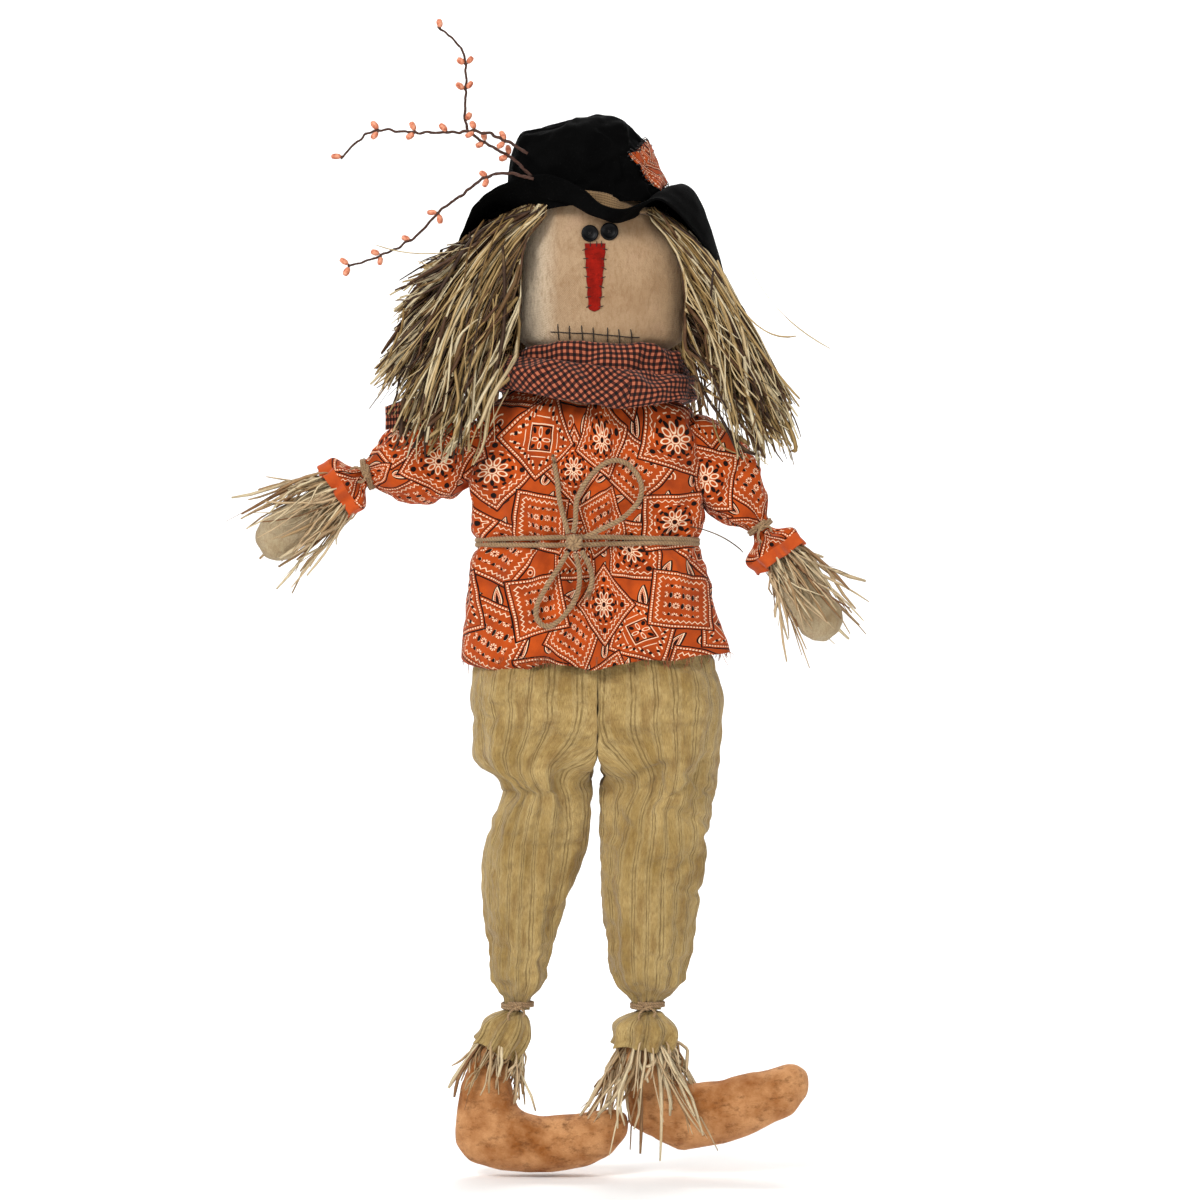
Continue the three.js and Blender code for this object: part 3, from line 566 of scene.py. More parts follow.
def burlap(paint):
    """Open jute weave with thick, uneven threads."""
    at = paint.cloth()
    x, y, _ = paint.parts(at)
    wander = paint.noise(at, 0.3, 2)
    height = abs(wave(x + wander, 3.6)).top(abs(wave(y + wander, 3.6)))
    fibres = paint.noise(at, 3.0, 3, 0.7)
    tone = paint.ramp(fibres, (0.3, linear(112, 86, 56)), (0.7, linear(164, 134, 96)))
    tone = paint.over(linear(60, 42, 26), height, 0.3, 0.95, 1.0, tone)
    paint.surface(tone, roughness=0.93, sheen=0.1, specular=0.2)
    paint.bump(height, 0.0006, 0.9)


def steel(paint):
    """Drawn wire: bright along, scratched round."""
    marks = paint.noise(paint.place(), 300, 3, squeeze=(1, 1, 12))
    tone = paint.mix(marks, linear(120, 120, 122), linear(176, 176, 178))
    paint.surface(tone, roughness=paint.range(marks, 0.3, 0.7, 0.25, 0.45), metallic=1.0)


MATERIALS = {}


def make_materials():
    tan, shade, glow = linear(196, 162, 124), linear(166, 130, 92), linear(204, 164, 132)
    makers = {
        # the muslin's last pair of colours is painted light and shade across the face, lighter at negative x
        "muslin": (muslin, tan, shade, glow, (linear(206, 180, 150), linear(182, 146, 106))),
        "hand_muslin": (muslin, linear(194, 174, 138), linear(146, 120, 82), linear(206, 188, 156)),
        "stuffing": (muslin, linear(226, 222, 212), linear(200, 192, 178), linear(236, 232, 224)),
        "print_cloth": (print_cloth,),
        "plain_orange": (plain_orange,),
        "gingham": (gingham, 0.0),
        "gingham_bias": (gingham, 0.72),
        "trouser_cloth": (striped_cloth,),
        "hat_cloth": (black_cotton,),
        "red_felt": (felt, linear(118, 14, 4), linear(168, 26, 12), linear(96, 8, 2), 90, 0.0006),
        "boot_felt": (felt, linear(150, 88, 38), linear(230, 172, 118), linear(98, 54, 22), 26, 0.0012),
        "jute": (jute,),
        "straw": (straw, linear(216, 184, 126), linear(158, 126, 70), linear(92, 58, 28)),
        "warm_straw": (straw, linear(228, 200, 158), linear(192, 160, 114), linear(138, 94, 56)),
        "bark": (bark,),
        "berry": (berry_skin,),
        "button": (glossy_button,),
        "black_thread": (thread, linear(14, 12, 12), linear(44, 38, 36)),
        "rust_thread": (thread, linear(120, 56, 22), linear(196, 110, 60)),
        "burlap": (burlap,),
        "wire": (steel,),
    }
    for name, (maker, *choices) in makers.items():
        paint = Paint(name)
        maker(paint, *choices)
        MATERIALS[name] = paint.material


# ------------------------------------------------------------------ mesh helpers


def new_mesh(name, points, faces, uvs=None):
    """An object from points and faces; uvs holds one pair for each corner of each face."""
    mesh = bpy.data.meshes.new(name)
    mesh.from_pydata([tuple(p) for p in points], [], [tuple(map(int, f)) for f in faces])
    if uvs is not None:
        layer = mesh.uv_layers.new(name="UVMap")
        layer.data.foreach_set("uv", np.asarray(uvs, np.float32).ravel())
    mesh.shade_smooth()
    obj = bpy.data.objects.new(name, mesh)
    bpy.context.collection.objects.link(obj)
    return obj


def rows_of(items, key):
    """One vector for each of a mesh's items, as rows of an array."""
    out = np.empty(len(items) * 3, np.float32)
    items.foreach_get(key, out)
    return out.reshape(-1, 3).astype(float)


def points_of(obj):
    return rows_of(obj.data.vertices, "co")


def normals_of(obj):
    return rows_of(obj.data.vertex_normals, "vector")


def move_points(obj, points):
    obj.data.vertices.foreach_set("co", np.asarray(points, np.float32).ravel())
    obj.data.update()


def add_numbers(obj, name, values):
    """A number at each of a mesh's points, for its material to read."""
    numbers = obj.data.attributes.new(name, "FLOAT", "POINT")
    numbers.data.foreach_set("value", np.asarray(values, np.float32).ravel())


def bake(obj, kind, **settings):
    """Adds a modifier and applies it."""
    modifier = obj.modifiers.new(kind.lower(), kind)
    for key, value in settings.items():
        setattr(modifier, key, value)
    settle(obj)


def settle(obj):
    """Replaces an object's mesh by what its modifiers make of it."""
    graph = bpy.context.evaluated_depsgraph_get()
    made = bpy.data.meshes.new_from_object(obj.evaluated_get(graph))
    obj.modifiers.clear()
    obj.data = made
    obj.data.shade_smooth()


def only_material(obj, material):
    obj.data.materials.clear()
    obj.data.materials.append(MATERIALS[material])


def finish_piece(obj, material, body, *nodes, slot):
    """Gives a piece its material and body, and hides the CAD nodes that it stands for."""
    only_material(obj, material)
    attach(obj, body)
    if nodes:
        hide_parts(*nodes)


def tree_of(*objects):
    """A ray-casting tree of some objects' surfaces."""
    points, faces = [], []
    for obj in objects:
        base = len(points)
        points += [v.co.copy() for v in obj.data.vertices]
        faces += [[base + i for i in p.vertices] for p in obj.data.polygons]
    return BVHTree.FromPolygons(points, faces)


def nodes_tree(*names):
    return tree_of(*(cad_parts[name] for name in names))


def blurred(radii, round_by, along_by):
    """Radii averaged with their neighbours round each row, then along the rows."""
    out = radii.copy()
    for _ in range(round_by):
        out = (np.roll(out, 1, 1) + out * 2 + np.roll(out, -1, 1)) / 4
    for _ in range(along_by):
        padded = np.vstack([out[:1] * 2 - out[1:2], out, out[-1:] * 2 - out[-2:-1]])
        out = (padded[:-2] + padded[1:-1] * 2 + padded[2:]) / 4
    return out


class Wrap:
    """The outside of some CAD nodes round a straight line, as radii by row and turn."""

    def __init__(self, tree, start, end, rows, turns, dome=0, blur=(6, 2), facing=FRONT):
        self.rows, self.turns = rows + dome, turns
        axis = (end - start).normalized()
        front = (facing - axis * facing.dot(axis)).normalized()
        side = axis.cross(front)
        centres, ways = [], []
        for k in range(dome):
            centres.append(start)
            ways.append(math.pi / 2 * (1 - k / dome))
        for k in range(rows):
            centres.append(start.lerp(end, k / (rows - 1)))
            ways.append(0.0)
        self.centres = np.array(centres)
        angles = np.arange(turns) * TWO_PI / turns
        self.angles = angles
        flat = np.cos(angles)[:, None] * np.array(front) + np.sin(angles)[:, None] * np.array(side)
        tilt = np.array(ways)
        self.ways = (
            np.cos(tilt)[:, None, None] * flat[None] - np.sin(tilt)[:, None, None] * np.array(axis)
        )
        reach = 0.4
        radii = np.full((self.rows, turns), np.nan)
        for i in range(self.rows):
            for j in range(turns):
                way = Vector(self.ways[i, j])
                hit = tree.ray_cast(Vector(self.centres[i]) + way * reach, -way, reach)
                if hit[0] is not None:
                    radii[i, j] = reach - hit[3]
        found = np.where(~np.isnan(radii).all(1))[0]
        for i in range(self.rows):
            radii[i] = radii[found[np.abs(found - i).argmin()]]
            bad = np.isnan(radii[i])
            known = np.where(~bad)[0]
            radii[i, bad] = np.interp(np.where(bad)[0], known, radii[i, known], period=turns)
        self.radii = blurred(radii, *blur)
        self.share = np.linspace(0, 1, self.rows)[:, None]

    def points(self, out=0.0):
        """The grid's points, moved out by a distance or an array of distances."""
        return self.centres[:, None, :] + self.ways * (self.radii + out)[:, :, None]


def grid_faces(rows, columns, closed=True, looped=False):
    """The quads of a grid of points, with each one's row and column.

    closed joins the last column to the first, and looped joins the last row to the first.
    """
    i, j = np.meshgrid(np.arange(rows - (not looped)), np.arange(columns - (not closed)), indexing="ij")
    i, j = i.ravel(), j.ravel()
    k, n = (j + 1) % columns, (i + 1) % rows
    return np.stack([i * columns + j, i * columns + k, n * columns + k, n * columns + j], 1), i, j


def corner_uvs(first, last, low, high):
    """The four corners' places on the cloth, for quads that span first to last and low to high."""
    return np.stack([first, low, last, low, last, high, first, high], -1)


def grid_object(name, points, closed=True, pole=False):
    """A quad mesh from a grid of points, with UVs in metres across and along its cloth."""
    rows, turns = points.shape[:2]
    wide = np.linalg.norm(np.roll(points, -1, 1) - points, axis=2).sum(1).max()
    long = np.linalg.norm(points[1:] - points[:-1], axis=2).mean(1).sum()
    count = turns if closed else turns - 1
    faces, i, j = grid_faces(rows, turns, closed)
    from_up, to_up = -i / (rows - 1) * long, -(i + 1) / (rows - 1) * long
    uvs = corner_uvs(j / count * wide, (j + 1) / count * wide, from_up, to_up)
    uvs = uvs.reshape(-1, 4, 2)
    middle = points.mean(1)[:, None]
    across = np.cross(points[1:] - points[:-1], np.roll(points, -1, 1)[:-1] - points[:-1])
    if closed and (across * (points - middle)[:-1]).sum() > 0:
        faces, uvs = faces[:, ::-1], uvs[:, ::-1]
    obj = new_mesh(name, points.reshape(-1, 3), faces, uvs)
    if pole:
        bake(obj, "WELD", merge_threshold=0.0002)
    return obj


def round_mesh(name, rows, sides, point):
    """A closed round form from a function that gives each row's point at each turn.

    The first row and the last are single places.
    """
    points = [point(i, TWO_PI * s / sides) for i in range(rows) for s in range(sides)]
    made = new_mesh(name, points, grid_faces(rows, sides)[0])
    bake(made, "WELD", merge_threshold=0.00001)
    return made


def length_of(line):
    return float(np.linalg.norm(np.diff(line, axis=0), axis=1).sum())


def smooth_route(points, step, closed=False):
    """Points at equal steps along a smooth line through the given ones."""
    line = [Vector(p) for p in points]
    if closed:
        line = [line[-1]] + line + line[:2]
    else:
        line = [line[0] * 2 - line[1]] + line + [line[-1] * 2 - line[-2]]
    fine, parts = [], 12
    for a, b, c, d in zip(line, line[1:], line[2:], line[3:]):
        for k in range(parts):
            t = k / parts
            bend = (c - a) * t + (2 * a - 5 * b + 4 * c - d) * t * t + (3 * b - a - 3 * c + d) * t ** 3
            fine.append(0.5 * (2 * b + bend))
    if not closed:
        fine.append(line[-2])
    fine = np.array(fine)
    if closed:
        fine = np.vstack([fine, fine[:1]])
    run = np.concatenate([[0], np.cumsum(np.linalg.norm(np.diff(fine, axis=0), axis=1))])
    count = max(3, int(round(run[-1] / step)) + 1)
    at = np.linspace(0, run[-1], count)
    return np.stack([np.interp(at, run, fine[:, k]) for k in range(3)], 1), run[-1]


def frames_along(line, closed=False):
    """Two directions square to a line at each of its points, carried along without twisting."""
    ahead = np.roll(line, -1, 0) - np.roll(line, 1, 0)
    if not closed:
        ahead[0], ahead[-1] = line[1] - line[0], line[-1] - line[-2]
    ahead /= np.linalg.norm(ahead, axis=1)[:, None]
    side = Vector(ahead[0]).orthogonal().normalized()
    sides = []
    for way in ahead:
        way = Vector(way)
        side = (side - way * side.dot(way)).normalized()
        sides.append(side.copy())
    sides = np.array(sides)
    return sides, np.cross(ahead, sides)


def tube(name, line, radii, lobes=0, pitch=0.011, sides=12, closed=False):
    """A tube along points; with lobes it is a laid cord whose plies turn once in each pitch."""
    count = len(line)
    radii = np.broadcast_to(radii, (count,))
    first, second = frames_along(line, closed)
    run = np.concatenate([[0], np.cumsum(np.linalg.norm(np.diff(line, axis=0), axis=1))])
    angles = np.arange(sides) * TWO_PI / sides
    shape = np.ones((count, sides))
    if lobes:
        turned = angles[None, :] - run[:, None] * TWO_PI / pitch
        shape = 1 - PLY_DEPTH + PLY_DEPTH * np.abs(np.cos(turned * lobes / 2))
    spread = radii[:, None] * shape
    points = (
        line[:, None, :]
        + first[:, None, :] * (np.cos(angles) * spread)[:, :, None]
        + second[:, None, :] * (np.sin(angles) * spread)[:, :, None]
    )
    faces, i, j = grid_faces(count, sides, looped=closed)
    wide = TWO_PI * radii.max()
    lengths = np.append(run, run[-1] + (run[1] if closed else 0))
    near, far = j / sides * wide, (j + 1) / sides * wide
    uvs = np.stack([lengths[i], near, lengths[i], far, lengths[i + 1], far, lengths[i + 1], near], 1)
    uvs = list(uvs.reshape(-1, 2))
    faces = faces.tolist()
    if not closed:
        for ring, way in ((0, -1), (count - 1, 1)):
            corners = [ring * sides + s for s in range(sides)][::way]
            faces.append(corners)
            uvs += [(lengths[ring], 0.0)] * sides
    obj = new_mesh(name, points.reshape(-1, 3), faces, uvs)
    if lobes:
        # groove is how deep each point lies between the plies; the jute paint darkens it as painted shade
        add_numbers(obj, "groove", (1 - shape) / PLY_DEPTH)
    return obj


def jute_ring(name, points, step, radius=JUTE_RADIUS, pitch=0.010, sides=12):
    """A closed turn of three-ply jute through the points."""
    path, _ = smooth_route(points, step, closed=True)
    return tube(name, path[:-1], radius, lobes=3, pitch=pitch, sides=sides, closed=True)


def joined(name, objects):
    """One object made of several."""
    with bpy.context.temp_override(
        active_object=objects[0], selected_editable_objects=objects, object=objects[0]
    ):
        bpy.ops.object.join()
    objects[0].name = name
    objects[0].data.name = name
    return objects[0]


def blades(name, lines, widths, tones, rng):
    """Split blades along many lines at once: each is a closed three-sided strip, narrower at its ends."""
    lines = np.asarray(lines, float)
    count, steps = lines.shape[:2]
    ahead = np.gradient(lines, axis=1)
    ahead /= np.linalg.norm(ahead, axis=2)[:, :, None] + 1e-9
    roll = rng.normal(size=(count, 1, 3)) * 0.7 + np.array([1.0, 0.25, 0.0])
    roll = roll + rng.normal(size=(count, 1, 3)) * np.linspace(0, 0.9, steps)[None, :, None]
    side = roll - ahead * (roll * ahead).sum(2)[:, :, None]
    side /= np.linalg.norm(side, axis=2)[:, :, None] + 1e-9
    rise = np.cross(ahead, side)
    taper = np.ones(steps)
    taper[[0, -1]] = 0.6
    half = np.asarray(widths)[:, None, None] / 2 * taper[None, :, None]
    fold = 0.3
    points = np.stack([lines + side * half, lines + rise * half * 2 * fold, lines - side * half], 2)
    base = (np.arange(count) * steps * 3)[:, None, None]
    quad, i, j = grid_faces(steps, 3)
    faces = (base + quad[None]).reshape(-1, 4).tolist()
    run = np.cumsum(np.linalg.norm(np.diff(lines, axis=1), axis=2), axis=1)
    run = np.concatenate([np.zeros((count, 1)), run], 1) + rng.random((count, 1)) * 2
    across = np.array([0, 0.5, 1, 1.5])[None, :] * np.asarray(widths)[:, None] + rng.random((count, 1))
    uvs = corner_uvs(across[:, j], across[:, j + 1], run[:, i], run[:, i + 1]).reshape(-1, 2)
    last = (steps - 1) * 3
    for b in base.ravel().tolist():
        faces += [[b + 2, b + 1, b], [b + last, b + last + 1, b + last + 2]]
    uvs = np.vstack([uvs, np.zeros((count * 6, 2))])
    obj = new_mesh(name, points.reshape(-1, 3), faces, uvs)
    add_numbers(obj, "tone", np.repeat(np.asarray(tones, np.float32), steps * 3))
    return obj


# ------------------------------------------------------------------ soft pieces and their simulation

JOBS = []


def roughen(obj, size, amount):
    """Moves points along their normals by smooth noise, which gives a simulation something to grow from."""
    points, normals = points_of(obj), normals_of(obj)
    lift = np.array([noise.noise(Vector(p) / size) for p in points])
    move_points(obj, points + normals * (lift * amount)[:, None])


def will_settle(obj, cap, pins=None, spare=0.0, pressure=0.0, *, inward):
    """Queues a piece for the cloth simulation. spare is how much more cloth there is than shape.

    A point moves by at most cap, and by at most inward into the piece. Pinned points stay in place.
    """
    JOBS.append((obj, cap, pins, spare, pressure, inward))


CLOTH = {
    "quality": 5, "mass": 0.2, "tension_stiffness": 18, "compression_stiffness": 18, "shear_stiffness": 6,
    "bending_stiffness": 0.25, "air_damping": 4,
}
FRAMES = 18


def add_cloth(obj, pins, spare, pressure):
    cloth = obj.modifiers.new("cloth", "CLOTH")
    for key, value in CLOTH.items():
        setattr(cloth.settings, key, value)
    cloth.settings.effector_weights.gravity = 0
    cloth.settings.shrink_min = -spare
    cloth.collision_settings.use_collision = False
    if pressure:
        cloth.settings.use_pressure = True
        cloth.settings.uniform_pressure_force = pressure
    if pins is not None:
        group = obj.vertex_groups.new(name="pins")
        for weight in np.unique(pins[pins > 0]):
            group.add([int(k) for k in np.where(pins == weight)[0]], float(weight), "REPLACE")
        cloth.settings.vertex_group_mass = "pins"


def settle_cloth():
    """Lets the cloth go and keeps each point within its cap of where it began."""
    before = [(points_of(job[0]), normals_of(job[0])) for job in JOBS]
    for obj, _, pins, spare, pressure, _ in JOBS:
        add_cloth(obj, pins, spare, pressure)
    for step in range(1, FRAMES + 1):
        bpy.context.scene.frame_set(step)
    graph = bpy.context.evaluated_depsgraph_get()
    for (obj, cap, _, _, _, inward), (start, normals) in zip(JOBS, before):
        delta = rows_of(obj.evaluated_get(graph).data.vertices, "co") - start
        delta[~np.isfinite(delta).all(1)] = 0
        length = np.linalg.norm(delta, axis=1)[:, None] + 1e-9
        delta *= np.tanh(length / cap) * cap / length
        depth = (delta * normals).sum(1)
        delta += normals * (np.maximum(depth, -inward) - depth)[:, None]
        obj.modifiers.clear()
        obj.vertex_groups.clear()
        move_points(obj, start + delta)
    bpy.context.scene.frame_set(1)


def simulate():
    """Settles every queued piece at once, and makes each one smoother."""
    settle_cloth()
    for obj, *_ in JOBS:
        bake(obj, "SUBSURF", levels=1, render_levels=1)


def copy_of(node, name, voxel, inset, relax=4):
    """A soft solid's shape, remeshed evenly, its flats smoothed away, and drawn in by an inset."""
    obj = bpy.data.objects.new(name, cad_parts[node].data.copy())
    bpy.context.collection.objects.link(obj)
    bake(obj, "REMESH", mode="VOXEL", voxel_size=voxel)
    bake(obj, "SMOOTH", iterations=relax, factor=0.5)
    move_points(obj, points_of(obj) - normals_of(obj) * inset)
    return obj


def add_stuffing():
    """The stuffed forms under the clothes, drawn in so that the clothes' folds clear them."""
    bodies = {"torso": "torso", "neck": "torso", "hat_stuffing": "head"}
    bodies.update({f"{side}_{limb}": f"{side}_{limb}" for limb in ("arm", "leg") for side in SIDES})
    for node, body in bodies.items():
        inset = 0.014 if node in ("torso", "right_leg", "left_leg") else 0.005
        form = copy_of(node, f"stuffed_{node}", 0.006, inset)
        roughen(form, 0.02, 0.001)
        finish_piece(form, "stuffing", body, node, slot="stuffing")
    for side in SIDES:
        only_material(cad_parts[f"{side}_arm_wire"], "wire")


def make_pads():
    """Head, hands and boots, a little small, so that pressure swells them to size."""
    head = copy_of("head", "stuffed_head", 0.005, inset=0.002)
    will_settle(head, 0.005, pressure=3.0, inward=0.001)
    pads = {"head": head}
    for side in SIDES:
        hand = copy_of(f"{side}_hand", f"{side}_stuffed_hand", 0.003, inset=0.0015)
        roughen(hand, 0.012, 0.0012)
        will_settle(hand, 0.003, spare=0.05, pressure=4.0, inward=0.001)
        boot = copy_of(f"{side}_boot", f"{side}_stuffed_boot", 0.004, inset=0.001, relax=14)
        roughen(boot, 0.022, 0.0022)
        will_settle(boot, 0.005, spare=0.05, pressure=4.0, inward=0.0015)
        pads[f"{side}_hand"], pads[f"{side}_boot"] = hand, boot
    return pads


# ------------------------------------------------------------------ clothes

# Each shoulder's place, and how many degrees the arm and the hand slope down from level.
SHOULDERS = {"right": (-0.127, 0, 0.724), "left": (0.105, 0, 0.730)}
ARM_DROOP = {"right": 14.6, "left": 54.8}
HAND_DROOP = {"right": 34.0, "left": 54.8}
ARM_LENGTH = 0.107
CROTCH = 0.409
CENTRE = 0.0025  # where the two halves of the trousers meet


def droop_way(name, droop):
    """The direction of a limb that slopes down to its side."""
    turn = math.radians(droop[name])
    return Vector((SIDES[name] * math.cos(turn), 0, -math.sin(turn)))


def wrist_of(name):
    return place(*SHOULDERS[name]) + droop_way(name, ARM_DROOP) * ARM_LENGTH


def gathers(angles, count, seed):
    """Uneven pleats round a tie, from -1 to 1."""
    wander = np.array([noise.noise(Vector((math.cos(a), math.sin(a), seed))) for a in angles])
    return np.cos(angles * count + wander * 5 + seed)


def folds(wrap, size, seed):
    """Smooth noise over a wrap, stretched along it, from about -1 to 1."""
    run = np.linspace(0, 1, wrap.rows) * np.linalg.norm(wrap.centres[-1] - wrap.centres[0])
    out = np.empty((wrap.rows, wrap.turns))
    for i in range(wrap.rows):
        for j, a in enumerate(wrap.angles):
            spot = Vector((math.cos(a) / size, math.sin(a) / size, run[i] * 6 + seed))
            out[i, j] = noise.noise(spot) * 1.6
    return out


def make_shirt():
    """The shirt's body: drawn in under the belt, full below it, and gathered to a collar above."""
    rows, turns, collar = 68, 150, 6
    top, hem = place(-0.006, 0, 0.757), place(-0.003, 0, 0.5125)
    wrap = Wrap(nodes_tree("shirt_body"), top, hem, rows, turns, blur=(7, 2), facing=-FRONT)
    height = (top.z + (hem.z - top.z) * wrap.share) - ORIGIN.z
    from_belt = np.abs(height - BELT_HEIGHT)
    out = -0.0046 * np.exp(-((from_belt / 0.011) ** 2))
    pleats = gathers(wrap.angles, 19, 2.0)[None, :] * 0.0024 * np.exp(-from_belt / 0.030)
    skirt = np.clip((BELT_HEIGHT - height) / 0.12, 0, 1)
    low = np.clip((0.56 - height) / 0.04, 0, 1)
    out = out + pleats + folds(wrap, 0.26, 5.0) * (0.0026 + 0.0030 * skirt) + 0.003 * low
    points = wrap.points(out)
    points[:, :, 2] += low * (0.0045 * folds(wrap, 0.4, 9.0)[-1] + 0.060 * points[:, :, 0])
    near_top = np.clip((points[:, :, 2] - ORIGIN.z - 0.728) / 0.029, 0, 1)
    points[:, :, 0] *= 1 + 0.16 * near_top
    points[:, :, 2] += 0.016 * near_top
    middle = np.array(top)
    rise = []
    for k in range(collar, 0, -1):
        row = middle + (points[0] - middle) * (1 - 0.07 * k)
        row[:, 2] = points[0, :, 2] + 0.0042 * k
        rise.append(row)
    points = np.concatenate([np.array(rise), points])
    shirt = grid_object("shirt", points)
    pins = np.zeros((rows + collar, turns))
    pins[: collar + 2] = 1
    pins[collar:][(from_belt < 0.0045)[:, 0]] = 1
    roughen(shirt, 0.011, 0.0014)
    will_settle(shirt, 0.009, pins.ravel(), spare=0.075, inward=0.0030)
    return shirt


def make_sleeve(name):
    """A sleeve from inside the shirt to the wrist tie, where it is gathered."""
    way, shoulder = droop_way(name, ARM_DROOP), place(*SHOULDERS[name])
    rows, turns = 36, 72
    tree = nodes_tree(f"{name}_sleeve")
    wrap = Wrap(tree, shoulder - way * 0.024, wrist_of(name), rows, turns, blur=(5, 1), facing=-FRONT)
    close = wrap.share ** 5
    pleats = gathers(wrap.angles, 11, 3.0)[None, :] * 0.0022 * close
    out = pleats + folds(wrap, 0.45, 3.0 + SIDES[name]) * 0.0022 * (1 - close)
    sleeve = grid_object(f"{name}_sleeve_cloth", wrap.points(out))
    pins = np.zeros((rows, turns))
    pins[:2] = 1
    pins[-3:] = 1
    roughen(sleeve, 0.010, 0.0012)
    will_settle(sleeve, 0.007, pins.ravel(), spare=0.07, inward=0.0022)
    return sleeve


# Each half of the trousers from the front: height, outer side, inner side.
LEG_OUTLINE = {
    "right": [
        (0.200, -0.101, -0.050), (0.242, -0.105, -0.040), (0.272, -0.108, -0.030), (0.302, -0.110, -0.022),
        (0.322, -0.109, -0.015), (0.352, -0.105, -0.010), (0.377, -0.096, -0.007), (0.390, -0.102, -0.006),
        (0.402, -0.114, -0.004), (0.417, -0.122, 0.0024), (0.452, -0.118, 0.0024), (0.472, -0.121, 0.0024),
        (0.500, -0.117, 0.0024), (0.556, -0.106, 0.0024),
    ],
    "left": [
        (0.200, 0.088, 0.018), (0.252, 0.097, 0.012), (0.272, 0.101, 0.010), (0.312, 0.106, 0.009),
        (0.352, 0.110, 0.010), (0.372, 0.114, 0.010), (0.392, 0.117, 0.009), (0.404, 0.118, 0.007),
        (0.417, 0.118, 0.0026), (0.442, 0.119, 0.0026), (0.472, 0.121, 0.0026), (0.500, 0.116, 0.0026),
        (0.556, 0.104, 0.0026),
    ],
}


def sharpen(row, j, step):
    """Squares off the corner where a row's flat side begins, so that the two halves meet without a groove."""
    turns = len(row)
    outer, corner, inner = row[(j - step) % turns], row[j], row[(j + step) % turns]
    corner[1] = outer[1]
    inner[1] = outer[1] - math.copysign(0.0015, outer[1] - ORIGIN.y)


def make_trousers(name):
    """One half of the trousers, from the waist to the ankle tie, flat where it meets the other half."""
    side = SIDES[name]
    waist, foot = place(0.060 * side, 0, 0.556), place(-0.0775 if name == "right" else 0.0525, 0, 0.163)
    rows, turns = 104, 76
    tree = nodes_tree("trousers_seat", f"{name}_trouser_leg")
    wrap = Wrap(tree, waist, foot, rows, turns, blur=(5, 3), facing=-FRONT)
    height = (waist.z + (foot.z - waist.z) * wrap.share) - ORIGIN.z
    close = np.clip((0.200 - height) / 0.036, 0, 1) ** 2
    out = gathers(wrap.angles, 10, 1.0)[None, :] * 0.0018 * close
    out = out + folds(wrap, 0.36, 11.0 + side) * 0.0052 * (1 - close)
    near_joint = np.clip(1.6 - np.abs(height - 0.395) / 0.040, 0, 1)
    radii = wrap.radii + (blurred(wrap.radii, 2, 60) - wrap.radii) * near_joint + out
    across = wrap.ways[:, :, 0] * -side
    room = (np.abs(wrap.centres[:, 0] - CENTRE) - 0.0001)[:, None] / np.maximum(across, 1e-6)
    meets = (across > 0) & (radii > room)
    radii = np.where(meets, room, radii)
    points = wrap.centres[:, None, :] + wrap.ways * radii[:, :, None]
    heights, outer, inner = np.array(LEG_OUTLINE[name]).T
    now = np.sort(np.stack([points[:, :, 0].min(1), points[:, :, 0].max(1)], 1) * side, axis=1) * side
    wanted = np.stack([np.interp(height[:, 0], heights, inner), np.interp(height[:, 0], heights, outer)], 1)
    wanted = now + (wanted - now) * np.clip((height - 0.190) / 0.030, 0, 1)
    share = (points[:, :, 0] - now[:, :1]) / (now[:, 1:] - now[:, :1])
    points[:, :, 0] = wanted[:, :1] + share * (wanted[:, 1:] - wanted[:, :1])
    deep = np.abs(points[:, :, 1] - ORIGIN.y).max(1)
    knee_up, seat_up = 0.325, 0.465
    knee, seat = (np.abs(height[:, 0] - up).argmin() for up in (knee_up, seat_up))
    even = np.interp(height[:, 0], (knee_up, seat_up), (deep[knee], deep[seat]))
    between = (height[:, 0] > knee_up) & (height[:, 0] < seat_up)
    stretch = np.where(between, np.maximum(1, even / deep), 1)[:, None]
    points[:, :, 1] = ORIGIN.y + (points[:, :, 1] - ORIGIN.y) * stretch
    tucked = 1 - 0.13 * np.clip((height - 0.488) / 0.022, 0, 1)
    points[:, :, 1] = ORIGIN.y + (points[:, :, 1] - ORIGIN.y) * tucked
    meets &= height > CROTCH - 0.004
    for row, flat in zip(points, meets):
        for step in (1, -1):
            for j in np.where(flat & ~np.roll(flat, step))[0]:
                sharpen(row, j, step)
    half = grid_object(f"{name}_trouser_half", points)
    pins = meets.astype(float)
    pins[:3] = 1
    pins[-3:] = 1
    roughen(half, 0.011, 0.0018)
    will_settle(half, 0.011, pins.ravel(), spare=0.10, inward=0.0038)
    return half


